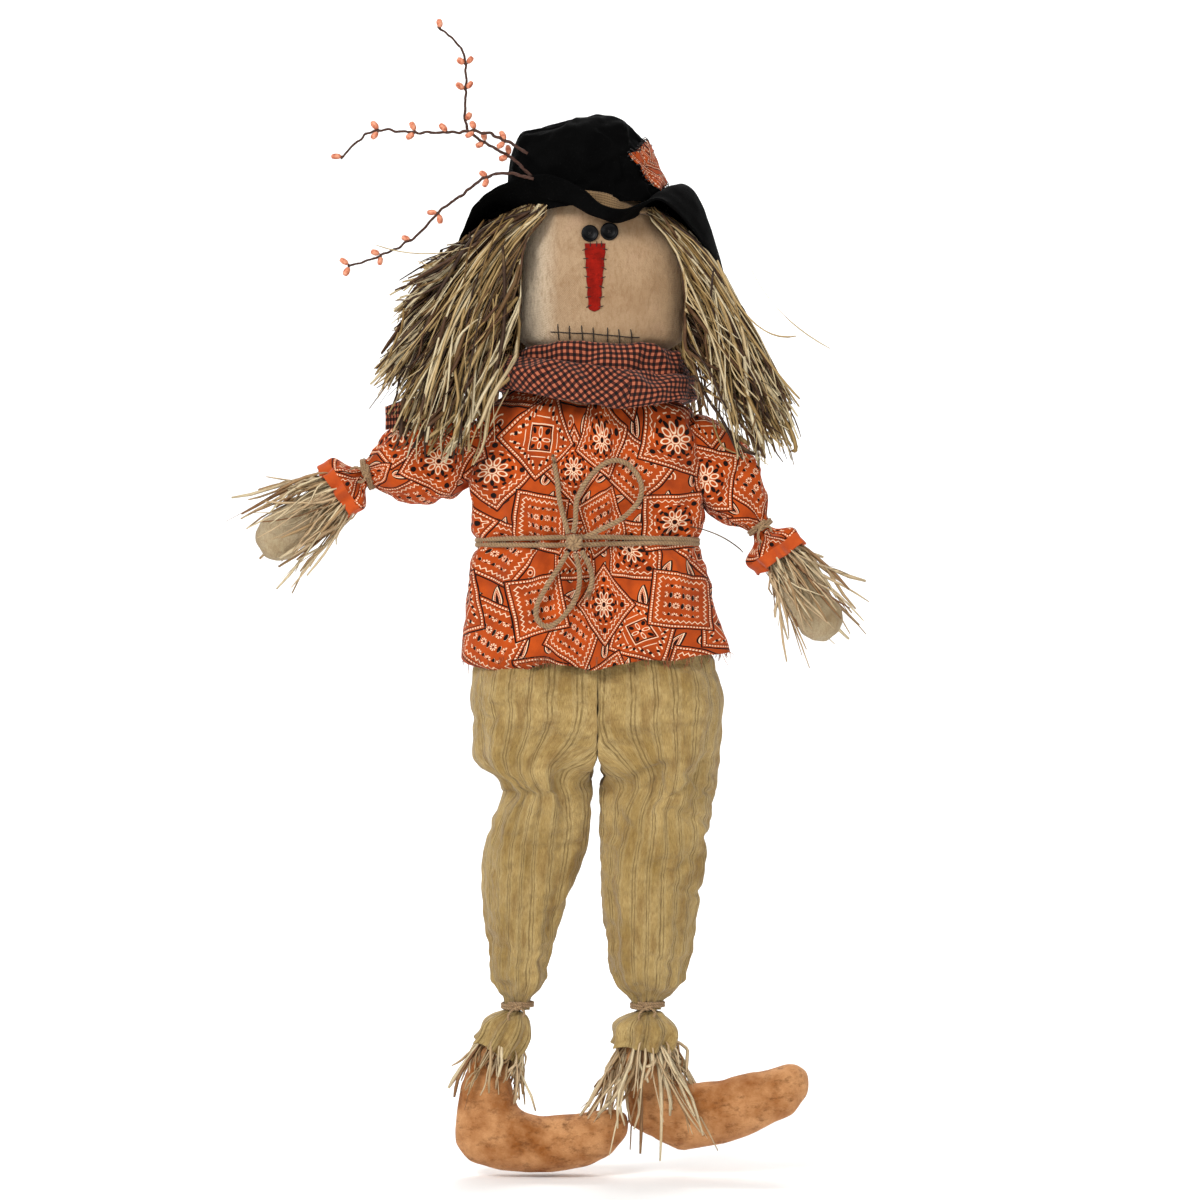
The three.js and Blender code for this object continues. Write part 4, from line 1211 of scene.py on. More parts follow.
def make_cuff(name, node, start, end, count, band_rows, cloth):
    """A flared cuff beyond its tie, gathered at the tie and wavy at its open edge.

    Its last band_rows of rows are the cloth's turned edge, in plain orange.
    """
    rows, turns = 14, 84
    wrap = Wrap(nodes_tree(node), start, end, rows, turns, blur=(5, 1), facing=-FRONT)
    flare = wrap.share ** 1.3
    waves = gathers(wrap.angles, count, 4.0)[None, :] * (0.0012 + 0.0034 * flare)
    puff = 0.006 * np.sin(math.pi * np.minimum(1, wrap.share * 1.25)) + 0.003 * flare
    points = wrap.points(waves + puff - 0.001)
    axis = np.array((end - start).normalized())
    points += axis * (gathers(wrap.angles, 3, 7.0)[None, :, None] * 0.002 * flare[:, :, None])
    middle = points[0].mean(0)
    tucked = [middle + (points[0] - middle) * share - axis * 0.0006 for share in (0.5, 0.8)]
    cuff = grid_object(name, np.concatenate([np.array(tucked), points]))
    roughen(cuff, 0.009, 0.0010)
    bake(cuff, "SOLIDIFY", thickness=0.0012, offset=-1)
    bake(cuff, "SUBSURF", levels=1)
    cuff.data.materials.append(MATERIALS[cloth])
    if band_rows:
        cuff.data.materials.append(MATERIALS["plain_orange"])
        edge = (end - start).length * (1 - band_rows / rows)
        for face in cuff.data.polygons:
            run = (face.center - start).dot((end - start).normalized())
            face.material_index = 1 if run > edge else 0
    return cuff


def ring_of(node):
    """Middle, axis, and the larger half size across each way of a CAD ring."""
    points = np.array([v.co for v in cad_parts[node].data.vertices])
    middle = (points.max(0) + points.min(0)) / 2
    _, _, ways = np.linalg.svd(points - points.mean(0), full_matrices=False)
    halves = [np.abs((points - middle) @ way).max() for way in ways[:2]]
    return Vector(middle), [Vector(w) for w in ways], halves


def overhand(count):
    """Places round an overhand knot: across, up, and in and out."""
    for k in range(count):
        t = TWO_PI * k / count
        yield math.sin(t) + 2 * math.sin(2 * t), math.cos(t) - 2 * math.cos(2 * t), math.sin(3 * t)


def add_tie(name, node, body):
    """Jute wound round a gathered cuff and knotted at the front, with two short ends."""
    radius, wraps, pitch = 0.0018, 2.1, 0.008
    middle, (first, second, axis), halves = ring_of(node)
    if axis.z < 0:
        axis = -axis
    reach = [h - radius * 0.9 for h in halves]
    line = []
    steps = int(18 * wraps)
    start = math.atan2(FRONT.dot(second), FRONT.dot(first))
    for k in range(steps + 1):
        turn = start + TWO_PI * wraps * k / steps
        rise = (k / steps - 0.5) * radius * 1.9 * wraps * 0.8
        ring = first * math.cos(turn) * reach[0] + second * math.sin(turn) * reach[1]
        line.append(middle + ring + axis * rise)
    path, _ = smooth_route(line, 0.0012)
    pieces = [tube(name, path, radius, lobes=3, pitch=pitch, sides=10)]
    knot = middle + FRONT * (abs(first.dot(FRONT)) * reach[0] + abs(second.dot(FRONT)) * reach[1] + radius)
    across = axis.cross(FRONT).normalized()
    curl = [
        knot + (across * a * 0.75 + axis * b * 0.6 + FRONT * c * 0.5) * radius for a, b, c in overhand(16)
    ]
    pieces.append(jute_ring("knot", curl, 0.0011, radius * 0.85, pitch, 8))
    for way, length in ((-1, 0.014), (1, 0.010)):
        end = knot + across * way * length * 0.6 - axis * length + FRONT * 0.004
        path, _ = smooth_route([knot, knot.lerp(end, 0.5) + across * way * 0.004, end], 0.0012)
        pieces.append(tube("end", path, radius * 0.75, lobes=3, pitch=pitch, sides=8))
    finish_piece(joined(name, pieces), "jute", body, node, slot="jute")


def add_hem_fray(shirt):
    """Short rust threads that hang from the shirt's raw hem."""
    rng = np.random.default_rng(31)
    tree = tree_of(shirt)
    lines, widths, tones = [], [], []
    for _ in range(300):
        turn = TWO_PI * rng.random()
        way = Vector((math.sin(turn), -math.cos(turn), 0))
        for up in (0.516, 0.519, 0.523):
            root = tree.ray_cast(place(-0.003, 0, up) + way * 0.3, -way, 0.3)[0]
            if root is not None:
                break
        if root is None:
            continue
        drop = 0.005 + 0.008 * rng.random() ** 2
        lean = Vector(rng.normal(size=3)) * 0.0028
        lines.append([root, root - UP * drop * 0.5 + lean * 0.4, root - UP * drop + lean])
        widths.append(0.0005 + 0.0004 * rng.random())
        tones.append(rng.random())
    fray = blades("shirt_hem_fray", lines, widths, tones, rng)
    finish_piece(fray, "rust_thread", "torso", slot="print_cloth")


def finish_clothes(shirt, sleeves, halves):
    """Gives the settled clothes their materials, and the shirt its body and its raw hem."""
    bake(shirt, "SOLIDIFY", thickness=0.0010, offset=-1)
    finish_piece(shirt, "print_cloth", "torso", "shirt_body", slot="print_cloth")
    add_hem_fray(shirt)
    for name, sleeve in sleeves.items():
        only_material(sleeve, "print_cloth")
        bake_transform(sleeve)
        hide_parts(f"{name}_sleeve")
    for name, half in halves.items():
        only_material(half, "trouser_cloth")
        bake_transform(half)
        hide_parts("trousers_seat", f"{name}_trouser_leg")


# Where each ankle's cuff starts, at the tie, and where it ends.
ANKLES = {"right": ((-0.078, 0, 0.162), (-0.101, 0, 0.121)), "left": ((0.0525, 0, 0.162), (0.0465, 0, 0.123))}


def add_cuffs_and_ties():
    for name in SIDES:
        wrist, way = wrist_of(name), droop_way(name, HAND_DROOP)
        cuff = make_cuff(
            f"{name}_shirt_cuff", f"{name}_cuff", wrist - way * 0.003, wrist + way * 0.036,
            7, 5, "print_cloth",
        )
        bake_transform(cuff)
        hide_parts(f"{name}_cuff")
        add_tie(f"{name}_wrist_cord", f"{name}_wrist_tie", f"{name}_arm")
    for name, (top, low) in ANKLES.items():
        cuff = make_cuff(
            f"{name}_trouser_turnup", f"{name}_trouser_cuff", place(*top), place(*low), 8, 0, "trouser_cloth"
        )
        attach(cuff, f"{name}_foot")
        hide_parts(f"{name}_trouser_cuff")
        add_tie(f"{name}_ankle_cord", f"{name}_ankle_tie", f"{name}_leg")


# ------------------------------------------------------------------ belt and bow

# Routes of the bow's cords from the knot outwards, in metres at the figure's soles.
BOW = {
    "bow_loop_upper": [
        (-0.021, -0.076, 0.6375), (-0.019, -0.074, 0.650), (-0.017, -0.070, 0.672), (-0.004, -0.067, 0.694),
        (0.014, -0.066, 0.708), (0.031, -0.066, 0.706), (0.044, -0.066, 0.690), (0.044, -0.067, 0.671),
        (0.028, -0.069, 0.653), (0.008, -0.073, 0.642), (-0.0095, -0.0755, 0.6335),
    ],
    "bow_tail_upper": [
        (-0.026, -0.0755, 0.637), (-0.031, -0.071, 0.655), (-0.035, -0.067, 0.672), (-0.037, -0.066, 0.690),
        (-0.040, -0.066, 0.706),
    ],
    "bow_loop_lower": [
        (-0.0265, -0.0755, 0.619), (-0.036, -0.070, 0.603), (-0.048, -0.068, 0.584), (-0.057, -0.067, 0.566),
        (-0.056, -0.067, 0.552), (-0.045, -0.067, 0.546), (-0.030, -0.067, 0.557), (-0.018, -0.068, 0.576),
        (-0.015, -0.070, 0.597), (-0.019, -0.075, 0.6175),
    ],
    "bow_tail_lower": [
        (-0.013, -0.0755, 0.620), (-0.008, -0.072, 0.611), (-0.004, -0.069, 0.601), (-0.003, -0.067, 0.590),
        (-0.006, -0.067, 0.580),
    ],
}


def loose_hairs(line, radius, spacing, rng):
    """Short fibres that stand out from a cord, one for each spacing along it."""
    hairs = []
    for at in rng.integers(1, len(line) - 1, int(length_of(line) / spacing)):
        ahead = Vector(line[at + 1] - line[at - 1]).normalized()
        out = ahead.cross(Vector(rng.normal(size=3))).normalized()
        root = Vector(line[at]) + out * radius * 0.7
        lean = out * rng.uniform(0.4, 1.0) + ahead * rng.uniform(-1.0, 1.0)
        tip = root + lean * rng.uniform(0.0018, 0.0046)
        hairs.append([root, root.lerp(tip, 0.5) + out * 0.0003, tip])
    return hairs


def add_bow():
    """Two loops and two tails of three-ply jute, which leave the knot at the belt's front."""
    rng = np.random.default_rng(5)
    for name, route in BOW.items():
        line, length = smooth_route([place(*spot) for spot in route], 0.0010)
        cord = tube(f"{name}_cord", line, JUTE_RADIUS, lobes=3, pitch=0.010, sides=14)
        finish_piece(cord, "jute", "torso", name, slot="jute")
        far_end = "object" if "loop" in name else "bare"
        brush = loose_hairs(line, JUTE_RADIUS, 0.0013, rng)
        if far_end == "bare":
            end, way = Vector(line[-1]), Vector(line[-1] - line[-4]).normalized()
            for _ in range(34):
                lean = Vector(rng.normal(size=3)) * 0.0022
                tip = end + way * (0.003 + 0.006 * rng.random()) + lean
                brush.append([end - way * 0.002 + lean * 0.4, end.lerp(tip, 0.5) + lean * 0.2, tip])
        frayed = blades(f"{name}_fray", brush, [0.00042] * len(brush), rng.random(len(brush)), rng)
        finish_piece(frayed, "jute", "torso", slot="jute")


def add_belt(shirt):
    """Two strands of jute pulled tight round the shirt, and the knot that the bow leaves."""
    start, end = place(-0.006, 0, BELT_HEIGHT + 0.006), place(-0.006, 0, BELT_HEIGHT - 0.006)
    wrap = Wrap(tree_of(shirt), start, end, 3, 90, blur=(4, 0))
    middle = wrap.points(JUTE_RADIUS * 0.72)[1]
    strands, hairs = [], []
    rng = np.random.default_rng(15)
    for k, (lift, phase) in enumerate(((0.0027, 0.0), (-0.0027, 2.2))):
        wave = np.cos(wrap.angles * 2 + phase) * 0.0008 + np.cos(wrap.angles + phase) * 0.0006
        line = middle.copy()
        line[:, 2] += lift + wave
        strands.append(jute_ring(f"strand_{k}", line, 0.0013))
        path, _ = smooth_route(line, 0.0013, closed=True)
        hairs += loose_hairs(path, JUTE_RADIUS, 0.0015, rng)
    finish_piece(joined("belt_strands", strands), "jute", "torso", "belt_cord", slot="jute")
    fuzz = blades("belt_hairs", hairs, [0.00042] * len(hairs), rng.random(len(hairs)), rng)
    finish_piece(fuzz, "jute", "torso", slot="jute")
    low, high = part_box("belt_knot")
    centre = (low + high) / 2
    lumps = []
    for k, tilt in enumerate((0.35, -0.6, 1.5)):
        curl = []
        for s in range(18):
            t = TWO_PI * s / 18
            flat = Vector((math.cos(t) * 0.0062, math.sin(t) * 0.0028 - 0.0005 * k, math.sin(t * 2) * 0.0012))
            curl.append(centre + Matrix.Rotation(tilt, 3, "Y") @ Vector((flat.x, flat.z - 0.001 * k, flat.y)))
        path, _ = smooth_route(curl, 0.0010, closed=True)
        lumps.append(tube(f"lump_{k}", path[:-1], JUTE_RADIUS, lobes=3, pitch=0.010, sides=12, closed=True))
    core = []
    for s in range(18):
        t = TWO_PI * s / 18
        core.append(centre + Vector((math.sin(t) + 2 * math.sin(2 * t), -math.sin(3 * t) * 1.2,
                                     math.cos(t) - 2 * math.cos(2 * t))) * 0.0020)
    path, _ = smooth_route(core, 0.0010, closed=True)
    lumps.append(tube("core", path[:-1], JUTE_RADIUS, lobes=3, pitch=0.010, sides=12, closed=True))
    finish_piece(joined("belt_knot_turns", lumps), "jute", "torso", "belt_knot", slot="jute")


# ------------------------------------------------------------------ face


def on_surface(tree, across, up, lift=0.0):
    """The point on the front of a surface at a place across and up, raised by a lift, and its normal."""
    hit, normal, _, _ = tree.ray_cast(place(across, -0.3, up), -FRONT, 0.4)
    if hit is None:
        raise ValueError(f"nothing lies behind {across}, {up}")
    return hit + normal * lift, normal


def add_face(head):
    """Dents for the eyes, then buttons, the felt nose with its whip stitch, and the sewn mouth."""
    points, normals = points_of(head), normals_of(head)
    dents = [(-0.005, 0.933, 0.016, 0.0022), (0.0143, 0.935, 0.016, 0.0022), (-0.066, 0.905, 0.020, 0.0018)]
    for across, up, size, deep in dents:
        centre = np.array(place(across, -0.05, up))
        gap = (points - centre)[:, [0, 2]]
        front = normals[:, 1] < 0
        points -= normals * (deep * np.exp(-(gap ** 2).sum(1) / size ** 2) * front)[:, None]
    move_points(head, points)
    finish_piece(head, "muslin", "head", "head", slot="muslin")
    tree = tree_of(head)
    add_buttons(tree)
    add_nose(tree)
    add_mouth(tree)


# A button's section from the middle of its back to the middle of its face, in radii.
BUTTON_PROFILE = (
    (0, 0), (0.86, 0), (0.97, 0.06), (1.0, 0.18), (0.97, 0.31), (0.88, 0.37), (0.78, 0.36),
    (0.70, 0.29), (0.62, 0.25), (0.30, 0.22), (0, 0.22),
)


def add_buttons(tree):
    """Four-hole buttons: a raised rim round a dished middle."""
    for side, across, up, radius in (("right", -0.005, 0.933, 0.0085), ("left", 0.0143, 0.935, 0.009)):
        spot, normal = on_surface(tree, across, up, 0.0006)
        normal = (normal * 0.5 + FRONT).normalized()
        first = normal.cross(UP).normalized()
        second = first.cross(normal).normalized()

        def rim(row, turn):
            out, up = BUTTON_PROFILE[row]
            around = first * math.cos(turn) + second * math.sin(turn)
            return spot + around * out * radius + normal * up * radius

        button = round_mesh(f"button_{side}", len(BUTTON_PROFILE), 40, rim)
        finish_piece(button, "button", "head", f"eye_button_{side}", slot="button")
        sewn = []
        for way in (1, -1):
            gap = 0.17 * radius
            rise = normal * radius * 0.26
            ends = [
                spot + rise - normal * 0.0008 + first * gap * way * a + second * gap * a for a in (-1, 1)
            ]
            crest = spot + rise + normal * 0.0004
            rises = [end.lerp(crest, 0.6) + normal * 0.0003 for end in ends]
            path, _ = smooth_route([ends[0], rises[0], crest, rises[1], ends[1]], 0.0003)
            sewn.append(tube("sewing", path, 0.00045, lobes=2, pitch=0.0018, sides=8))
        sewing = joined(f"button_{side}_thread", sewn)
        finish_piece(sewing, "black_thread", "head", slot="thread")


def surface_thread(tree, ends, lift, radius, bow=0.0004):
    """A thread that lies on a surface from one place to another and dives in at both ends."""
    (x0, z0), (x1, z1) = ends
    line = []
    for k in range(9):
        t = k / 8
        rise = lift * (1 - abs(2 * t - 1) ** 6) - 0.0004
        rise += bow * math.sin(math.pi * t)
        line.append(on_surface(tree, x0 + (x1 - x0) * t, z0 + (z1 - z0) * t, rise)[0])
    path, _ = smooth_route(line, 0.0006)
    return tube("thread", path, radius, lobes=2, pitch=0.0026, sides=7)


def add_nose(tree):
    """A long felt wedge, its edges pulled down by black whip stitches."""
    low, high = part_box("nose")
    top, bottom = high.z - ORIGIN.z, low.z - ORIGIN.z
    half_top, half_tip, thick = 0.0105, 0.0055, 0.0026
    rows, columns = 40, 17

    def half_at(t):
        round_tip = math.sqrt(max(0.0, 1 - (1 - min(1.0, t / 0.07)) ** 2))
        wavy = 0.0004 * math.sin(t * 31)
        return ((half_tip + (half_top - half_tip) * t) * max(round_tip, 0.12)) + wavy * round_tip

    front, back = [], []
    for i in range(rows):
        t = i / (rows - 1)
        for j in range(columns):
            u = 2 * j / (columns - 1) - 1
            across = u * half_at(t) - 0.0006 + 0.0008 * t
            up = bottom + (top - bottom) * t
            crown = (1 - abs(u) ** 3.2) * (1 - abs(2 * t - 1) ** 14)
            spot, normal = on_surface(tree, across, up)
            puff = thick * (0.30 + 0.70 * crown) + 0.0003 * noise.noise(Vector((across, up, 0)) * 300)
            front.append(spot + normal * puff)
            back.append(spot - normal * 0.0004)
    faces = []
    count = rows * columns
    for i in range(rows - 1):
        for j in range(columns - 1):
            a = i * columns + j
            faces.append((a, a + 1, a + columns + 1, a + columns))
            faces.append((count + a + columns, count + a + columns + 1, count + a + 1, count + a))
    rim = [j for j in range(columns)] + [i * columns + columns - 1 for i in range(1, rows)]
    rim += [count - 1 - j for j in range(1, columns)] + [i * columns for i in range(rows - 2, 0, -1)]
    for a, b in zip(rim, rim[1:] + rim[:1]):
        faces.append((b, a, count + a, count + b))
    nose = new_mesh("felt_nose", front + back, faces)
    finish_piece(nose, "red_felt", "head", "nose", slot="felt")
    rng = random.Random(8)
    raised = tree_of(nose, bpy.data.objects["stuffed_head"])
    stitches = []
    for side in (-1, 1):
        for k in range(7):
            t = (k + 0.6) / 7.2
            edge = half_at(t) * side
            up = bottom + (top - bottom) * t + rng.uniform(-0.0008, 0.0008)
            lean = rng.uniform(-0.0012, 0.0012)
            ends = ((edge - side * 0.0026, up + lean), (edge + side * 0.0024, up - lean))
            stitches.append(surface_thread(raised, ends, 0.0008, 0.00042))
    for across in (-0.0045, 0.0015, 0.0065):
        ends = ((across, top - 0.0034), (across + rng.uniform(-0.001, 0.001), top + 0.0028))
        stitches.append(surface_thread(raised, ends, 0.0008, 0.00042))
    finish_piece(joined("nose_whip_stitch", stitches), "black_thread", "head", "nose_stitches", slot="thread")


def add_mouth(tree):
    """One long running thread with seven upright stitches across it."""
    rng = random.Random(4)
    threads = []
    left, right, height, slope = -0.044, 0.044, 0.834, -0.068
    stops = [left, -0.036, -0.025, -0.0125, -0.0015, 0.0125, 0.024, 0.036, right]
    for a, b in zip(stops, stops[1:]):
        ends = [(x, height + x * slope + rng.uniform(-4e-4, 4e-4)) for x in (a, b)]
        threads.append(surface_thread(tree, ends, 0.0009, 0.00055, bow=0.0002))
    for x in stops[1:-1]:
        middle = height + x * slope
        up, down = rng.uniform(0.0062, 0.0080), rng.uniform(0.0066, 0.0082)
        lean = rng.uniform(-0.0009, 0.0009)
        ends = ((x - lean, middle + up), (x + lean, middle - down))
        threads.append(surface_thread(tree, ends, 0.0013, 0.0006))
    finish_piece(joined("mouth_thread", threads), "black_thread", "head", "mouth_stitches", slot="thread")


# ------------------------------------------------------------------ hat

BROW = 0.962  # where the brim meets the crown
# The crown's outline from the front, as places across and up.
HAT_TOP = [
    (-0.084, 0.975), (-0.079, 1.026), (-0.070, 1.040), (-0.047, 1.044), (-0.018, 1.049), (0.000, 1.051),
    (0.024, 1.048), (0.034, 1.043), (0.048, 1.030), (0.058, 1.015), (0.071, 0.980), (0.077, 0.968),
]
# The height of the band's upper edge at turns round the hat, in mm.
BAND_TOP = [
    (-180, 21), (-120, 19), (-97, 12), (-78, 10), (-62, 3), (-50, -3), (-12, -3), (10, 7), (60, 16),
    (180, 21),
]

# The brim: turn from the figure's left, reach, and heights at its root, middle and edge, in mm.
BRIM = [
    (-180, 53, 2, -2, -35), (-165, 46, 3, 9, -6), (-150, 37, 4, 16, 14), (-135, 27, 6, 17, 28),
    (-120, 15, 6, 17, 31), (-105, 10, 1, 8, 22), (-92, 12, -9, -3, 10), (-84, 14, -12, -12, -3),
    (-74, 18, -16, -15, -7), (-66, 22, -17, -12, -7), (-59, 26, -15, -6, -2), (-50, 34, -10, 2, 4),
    (-38, 45, -1, 14, -13), (-25, 54, 1, 19, -38), (-10, 65, 1, 22, -64), (5, 64, 0, 18, -72),
    (25, 58, 0, 8, -58), (50, 48, 0, 0, -34), (90, 38, 0, -2, -14), (135, 44, 1, -3, -24),
    (180, 53, 2, -2, -35),
]


def slumped(points):
    """The crown's grid, its round top bent to the lopsided outline that it has from the front."""
    across, up = points[..., 0], points[..., 2] - ORIGIN.z
    stations = np.linspace(across.min(), across.max(), 60)
    top = np.array([up[np.abs(across - x) < 0.005].max() for x in stations])
    wanted = np.interp(stations, *np.array(HAT_TOP).T)
    share = np.interp(across, stations, (wanted - BROW) / np.maximum(top - BROW, 0.01))
    out = points.copy()
    out[..., 2] = ORIGIN.z + BROW + (up - BROW) * np.clip(share, 0.6, 1.15)
    return out


def make_crown():
    """The floppy crown, closed at its top and open below."""
    turns = 140
    start, end = place(-0.011, 0, 1.036), place(-0.004, 0, BROW - 0.001)
    wrap = Wrap(nodes_tree("hat_crown"), start, end, 28, turns, dome=18, blur=(5, 2))
    sag = folds(wrap, 0.5, 4.0) * 0.0042 * np.minimum(1, (1 - wrap.share) * 6)
    crown = grid_object("hat_crown_cloth", slumped(wrap.points(sag)), pole=True)
    heights = points_of(crown)[:, 2] - ORIGIN.z
    pins = np.where(heights < BROW + 0.006, 1.0, 0.0)
    roughen(crown, 0.012, 0.0016)
    will_settle(crown, 0.009, pins, spare=0.08, inward=0.004)
    return crown


def add_brim(crown):
    """The soft brim: turned up in front, drooping at both sides."""
    wrap = Wrap(tree_of(crown), place(-0.004, 0, BROW + 0.004), place(-0.004, 0, BROW), 2, 240, blur=(4, 0))
    flat = wrap.ways[1]
    turns = np.degrees(np.arctan2(flat[:, 1], flat[:, 0]))
    keys = np.array(BRIM, float)
    reach, root, middle, edge = (
        blurred(np.interp(turns, keys[:, 0], keys[:, k])[None] / 1000, 8, 0)[0] for k in (1, 2, 3, 4)
    )
    rows = 24
    out = np.linspace(0, 1, rows)[:, None]
    middle, edge = middle - root, edge - root
    lift = root + (4 * middle - edge) * out + (2 * edge - 4 * middle) * out ** 2
    points = np.repeat(wrap.points(0.003)[1][None], rows, 0) + flat[None] * (reach * out)[:, :, None]
    points[:, :, 2] = ORIGIN.z + BROW - 0.002 + lift
    for i in range(rows):
        for j in range(wrap.turns):
            a = flat[j] * 1.7
            points[i, j, 2] += noise.noise(Vector((a[0], a[1], out[i, 0] * 1.5))) * 0.004 * out[i, 0]
    tucked = points[:1] - flat[None] * 0.0042
    brim = grid_object("hat_brim_cloth", np.vstack([tucked, points]))
    roughen(brim, 0.014, 0.0011)
    bake(brim, "SOLIDIFY", thickness=0.0024, offset=0)
    bake(brim, "SUBSURF", levels=1)
    finish_piece(brim, "hat_cloth", "head", "hat_brim", slot="hat_cloth")
    finish_piece(crown, "hat_cloth", "head", "hat_crown", slot="hat_cloth")


def add_band_and_patch(crown):
    tree = tree_of(crown)
    wrap = Wrap(tree, place(-0.004, 0, BROW + 0.019), place(-0.004, 0, BROW + 0.001), 10, 160, blur=(3, 1))
    edge = np.abs(2 * wrap.share - 1) ** 6 * 0.0006
    points = wrap.points(0.0016 - edge)
    turns = np.degrees(np.arctan2(wrap.ways[1, :, 1], wrap.ways[1, :, 0]))
    keys = np.array(BRIM, float)
    top = np.interp(turns, *np.array(BAND_TOP).T) / 1000
    bottom = np.minimum(np.interp(turns, keys[:, 0], keys[:, 2]) / 1000 + 0.001, top - 0.006)
    points[:, :, 2] = ORIGIN.z + BROW + top + (bottom - top) * wrap.share
    band = grid_object("hat_band_burlap", points)
    bake(band, "SOLIDIFY", thickness=0.0012, offset=0)
    finish_piece(band, "burlap", "head", "hat_band", slot="burlap")

    # the patch's corners: turn from the front towards the figure's left, and height
    corners = np.array([[(38, 1.011), (85, 1.032)], [(65, 0.977), (112, 0.996)]])
    rows, columns = 48, 36
    centre = place(-0.010, 0, 1.0)
    v, u = np.meshgrid(np.linspace(0, 1, rows), np.linspace(0, 1, columns), indexing="ij")
    u, v = u[..., None], v[..., None]
    turn_up = (corners[0, 0] * (1 - u) + corners[0, 1] * u) * (1 - v)
    turn_up = turn_up + (corners[1, 0] * (1 - u) + corners[1, 1] * u) * v
    spots, ways = np.empty((rows, columns, 3)), np.empty((rows, columns, 3))
    for i in range(rows):
        for j in range(columns):
            turn, up = math.radians(turn_up[i, j, 0]), turn_up[i, j, 1]
            way = Vector((math.sin(turn), -math.cos(turn), 0))
            level = Vector((centre.x, centre.y, ORIGIN.z + up))
            hit = tree.ray_cast(level + way * 0.3, -way, 0.3)
            spots[i, j] = hit[0]
            ways[i, j] = way * 0.8 + hit[1] * 0.4
    for _ in range(4):
        soft = np.pad(spots, ((1, 1), (1, 1), (0, 0)), mode="reflect", reflect_type="odd")
        spots = (soft[:-2, 1:-1] + soft[2:, 1:-1] + soft[1:-1, :-2] + soft[1:-1, 2:]) / 8 + spots / 2
    spots += ways * 0.0019
    patch = grid_object("hat_patch_cloth", spots, closed=False)
    bake(patch, "SOLIDIFY", thickness=0.0009, offset=0)
    finish_piece(patch, "print_cloth", "head", "hat_patch", slot="print_cloth")
    rng = random.Random(12)
    stitches = []
    rims = [
        (spots[:, 0], spots[:, 3], 8), (spots[:, -1], spots[:, -4], 8), (spots[0], spots[3], 9),
        (spots[-1], spots[-4], 9),
    ]
    for rim, inner, count in rims:
        for k in range(count):
            at = int((k + 0.5) / count * (len(rim) - 1))
            edge, inside = Vector(rim[at]), Vector(inner[at])
            way = (inside - edge).normalized()
            lift = (edge - centre).normalized() * 0.0012
            slant = Vector((0, 0, rng.uniform(-0.0012, 0.0012)))
            route = [
                edge - way * 0.0032 + slant - lift * 0.8, edge - way * 0.002 + lift,
                edge + way * 0.002 + lift, edge + way * 0.0034 - slant - lift * 0.4,
            ]
            path, _ = smooth_route(route, 0.0005)
            stitches.append(tube("stitch", path, 0.0005, lobes=2, pitch=0.0026, sides=7))
    sewing = joined("hat_patch_sewing", stitches)
    finish_piece(sewing, "black_thread", "head", "hat_patch_stitches", slot="thread")


# Routes of the wired twigs from the hat band outwards, and where along each its berries sit.
TWIGS = {
    "twig_upper": (
        [(-0.062, -0.060, 0.988), (-0.082, -0.056, 1.007), (-0.108, -0.054, 1.022), (-0.126, -0.052, 1.037),
         (-0.128, -0.050, 1.060), (-0.127, -0.048, 1.084), (-0.130, -0.047, 1.112), (-0.143, -0.046, 1.128),
         (-0.155, -0.046, 1.138)],
        (0.16, 0.30, 0.46, 0.62, 0.76, 0.98),
    ),
    "twig_middle": (
        [(-0.066, -0.066, 1.010), (-0.090, -0.066, 1.024), (-0.116, -0.064, 1.032), (-0.150, -0.062, 1.031),
         (-0.185, -0.060, 1.032), (-0.214, -0.058, 1.034), (-0.235, -0.057, 1.022), (-0.250, -0.056, 1.006)],
        (0.12, 0.28, 0.42, 0.58, 0.76, 0.99),
    ),
    "twig_lower": (
        [(-0.060, -0.076, 0.984), (-0.085, -0.072, 0.990), (-0.106, -0.068, 0.987), (-0.128, -0.062, 0.972),
         (-0.152, -0.056, 0.955), (-0.176, -0.050, 0.931), (-0.200, -0.046, 0.917), (-0.222, -0.044, 0.908),
         (-0.244, -0.042, 0.902)],
        (0.22, 0.50, 0.68, 0.84, 0.99),
    ),
}


def berry_mesh(name, spot, way, rng):
    """A long oval berry with a dimple at its tip, standing on a short stem."""
    way = way.normalized()
    long, wide = 0.0048 * rng.uniform(0.9, 1.1), 0.0030 * rng.uniform(0.9, 1.1)
    centre = spot + way * (long + 0.0012)
    first = way.orthogonal().normalized()
    second = way.cross(first)
    rows = 13

    def skin(row, turn):
        t = math.pi * row / (rows - 1)
        reach = -math.cos(t) * (1 - 0.10 * (row > rows - 3))
        c, s = math.cos(turn), math.sin(turn)
        lump = 1 + 0.06 * noise.noise(Vector((c * 2, s * 2, t * 2 + spot.x * 900)))
        return centre + way * reach * long + (first * c + second * s) * wide * math.sin(t) ** 0.85 * lump

    return round_mesh(name, rows, 14, skin)


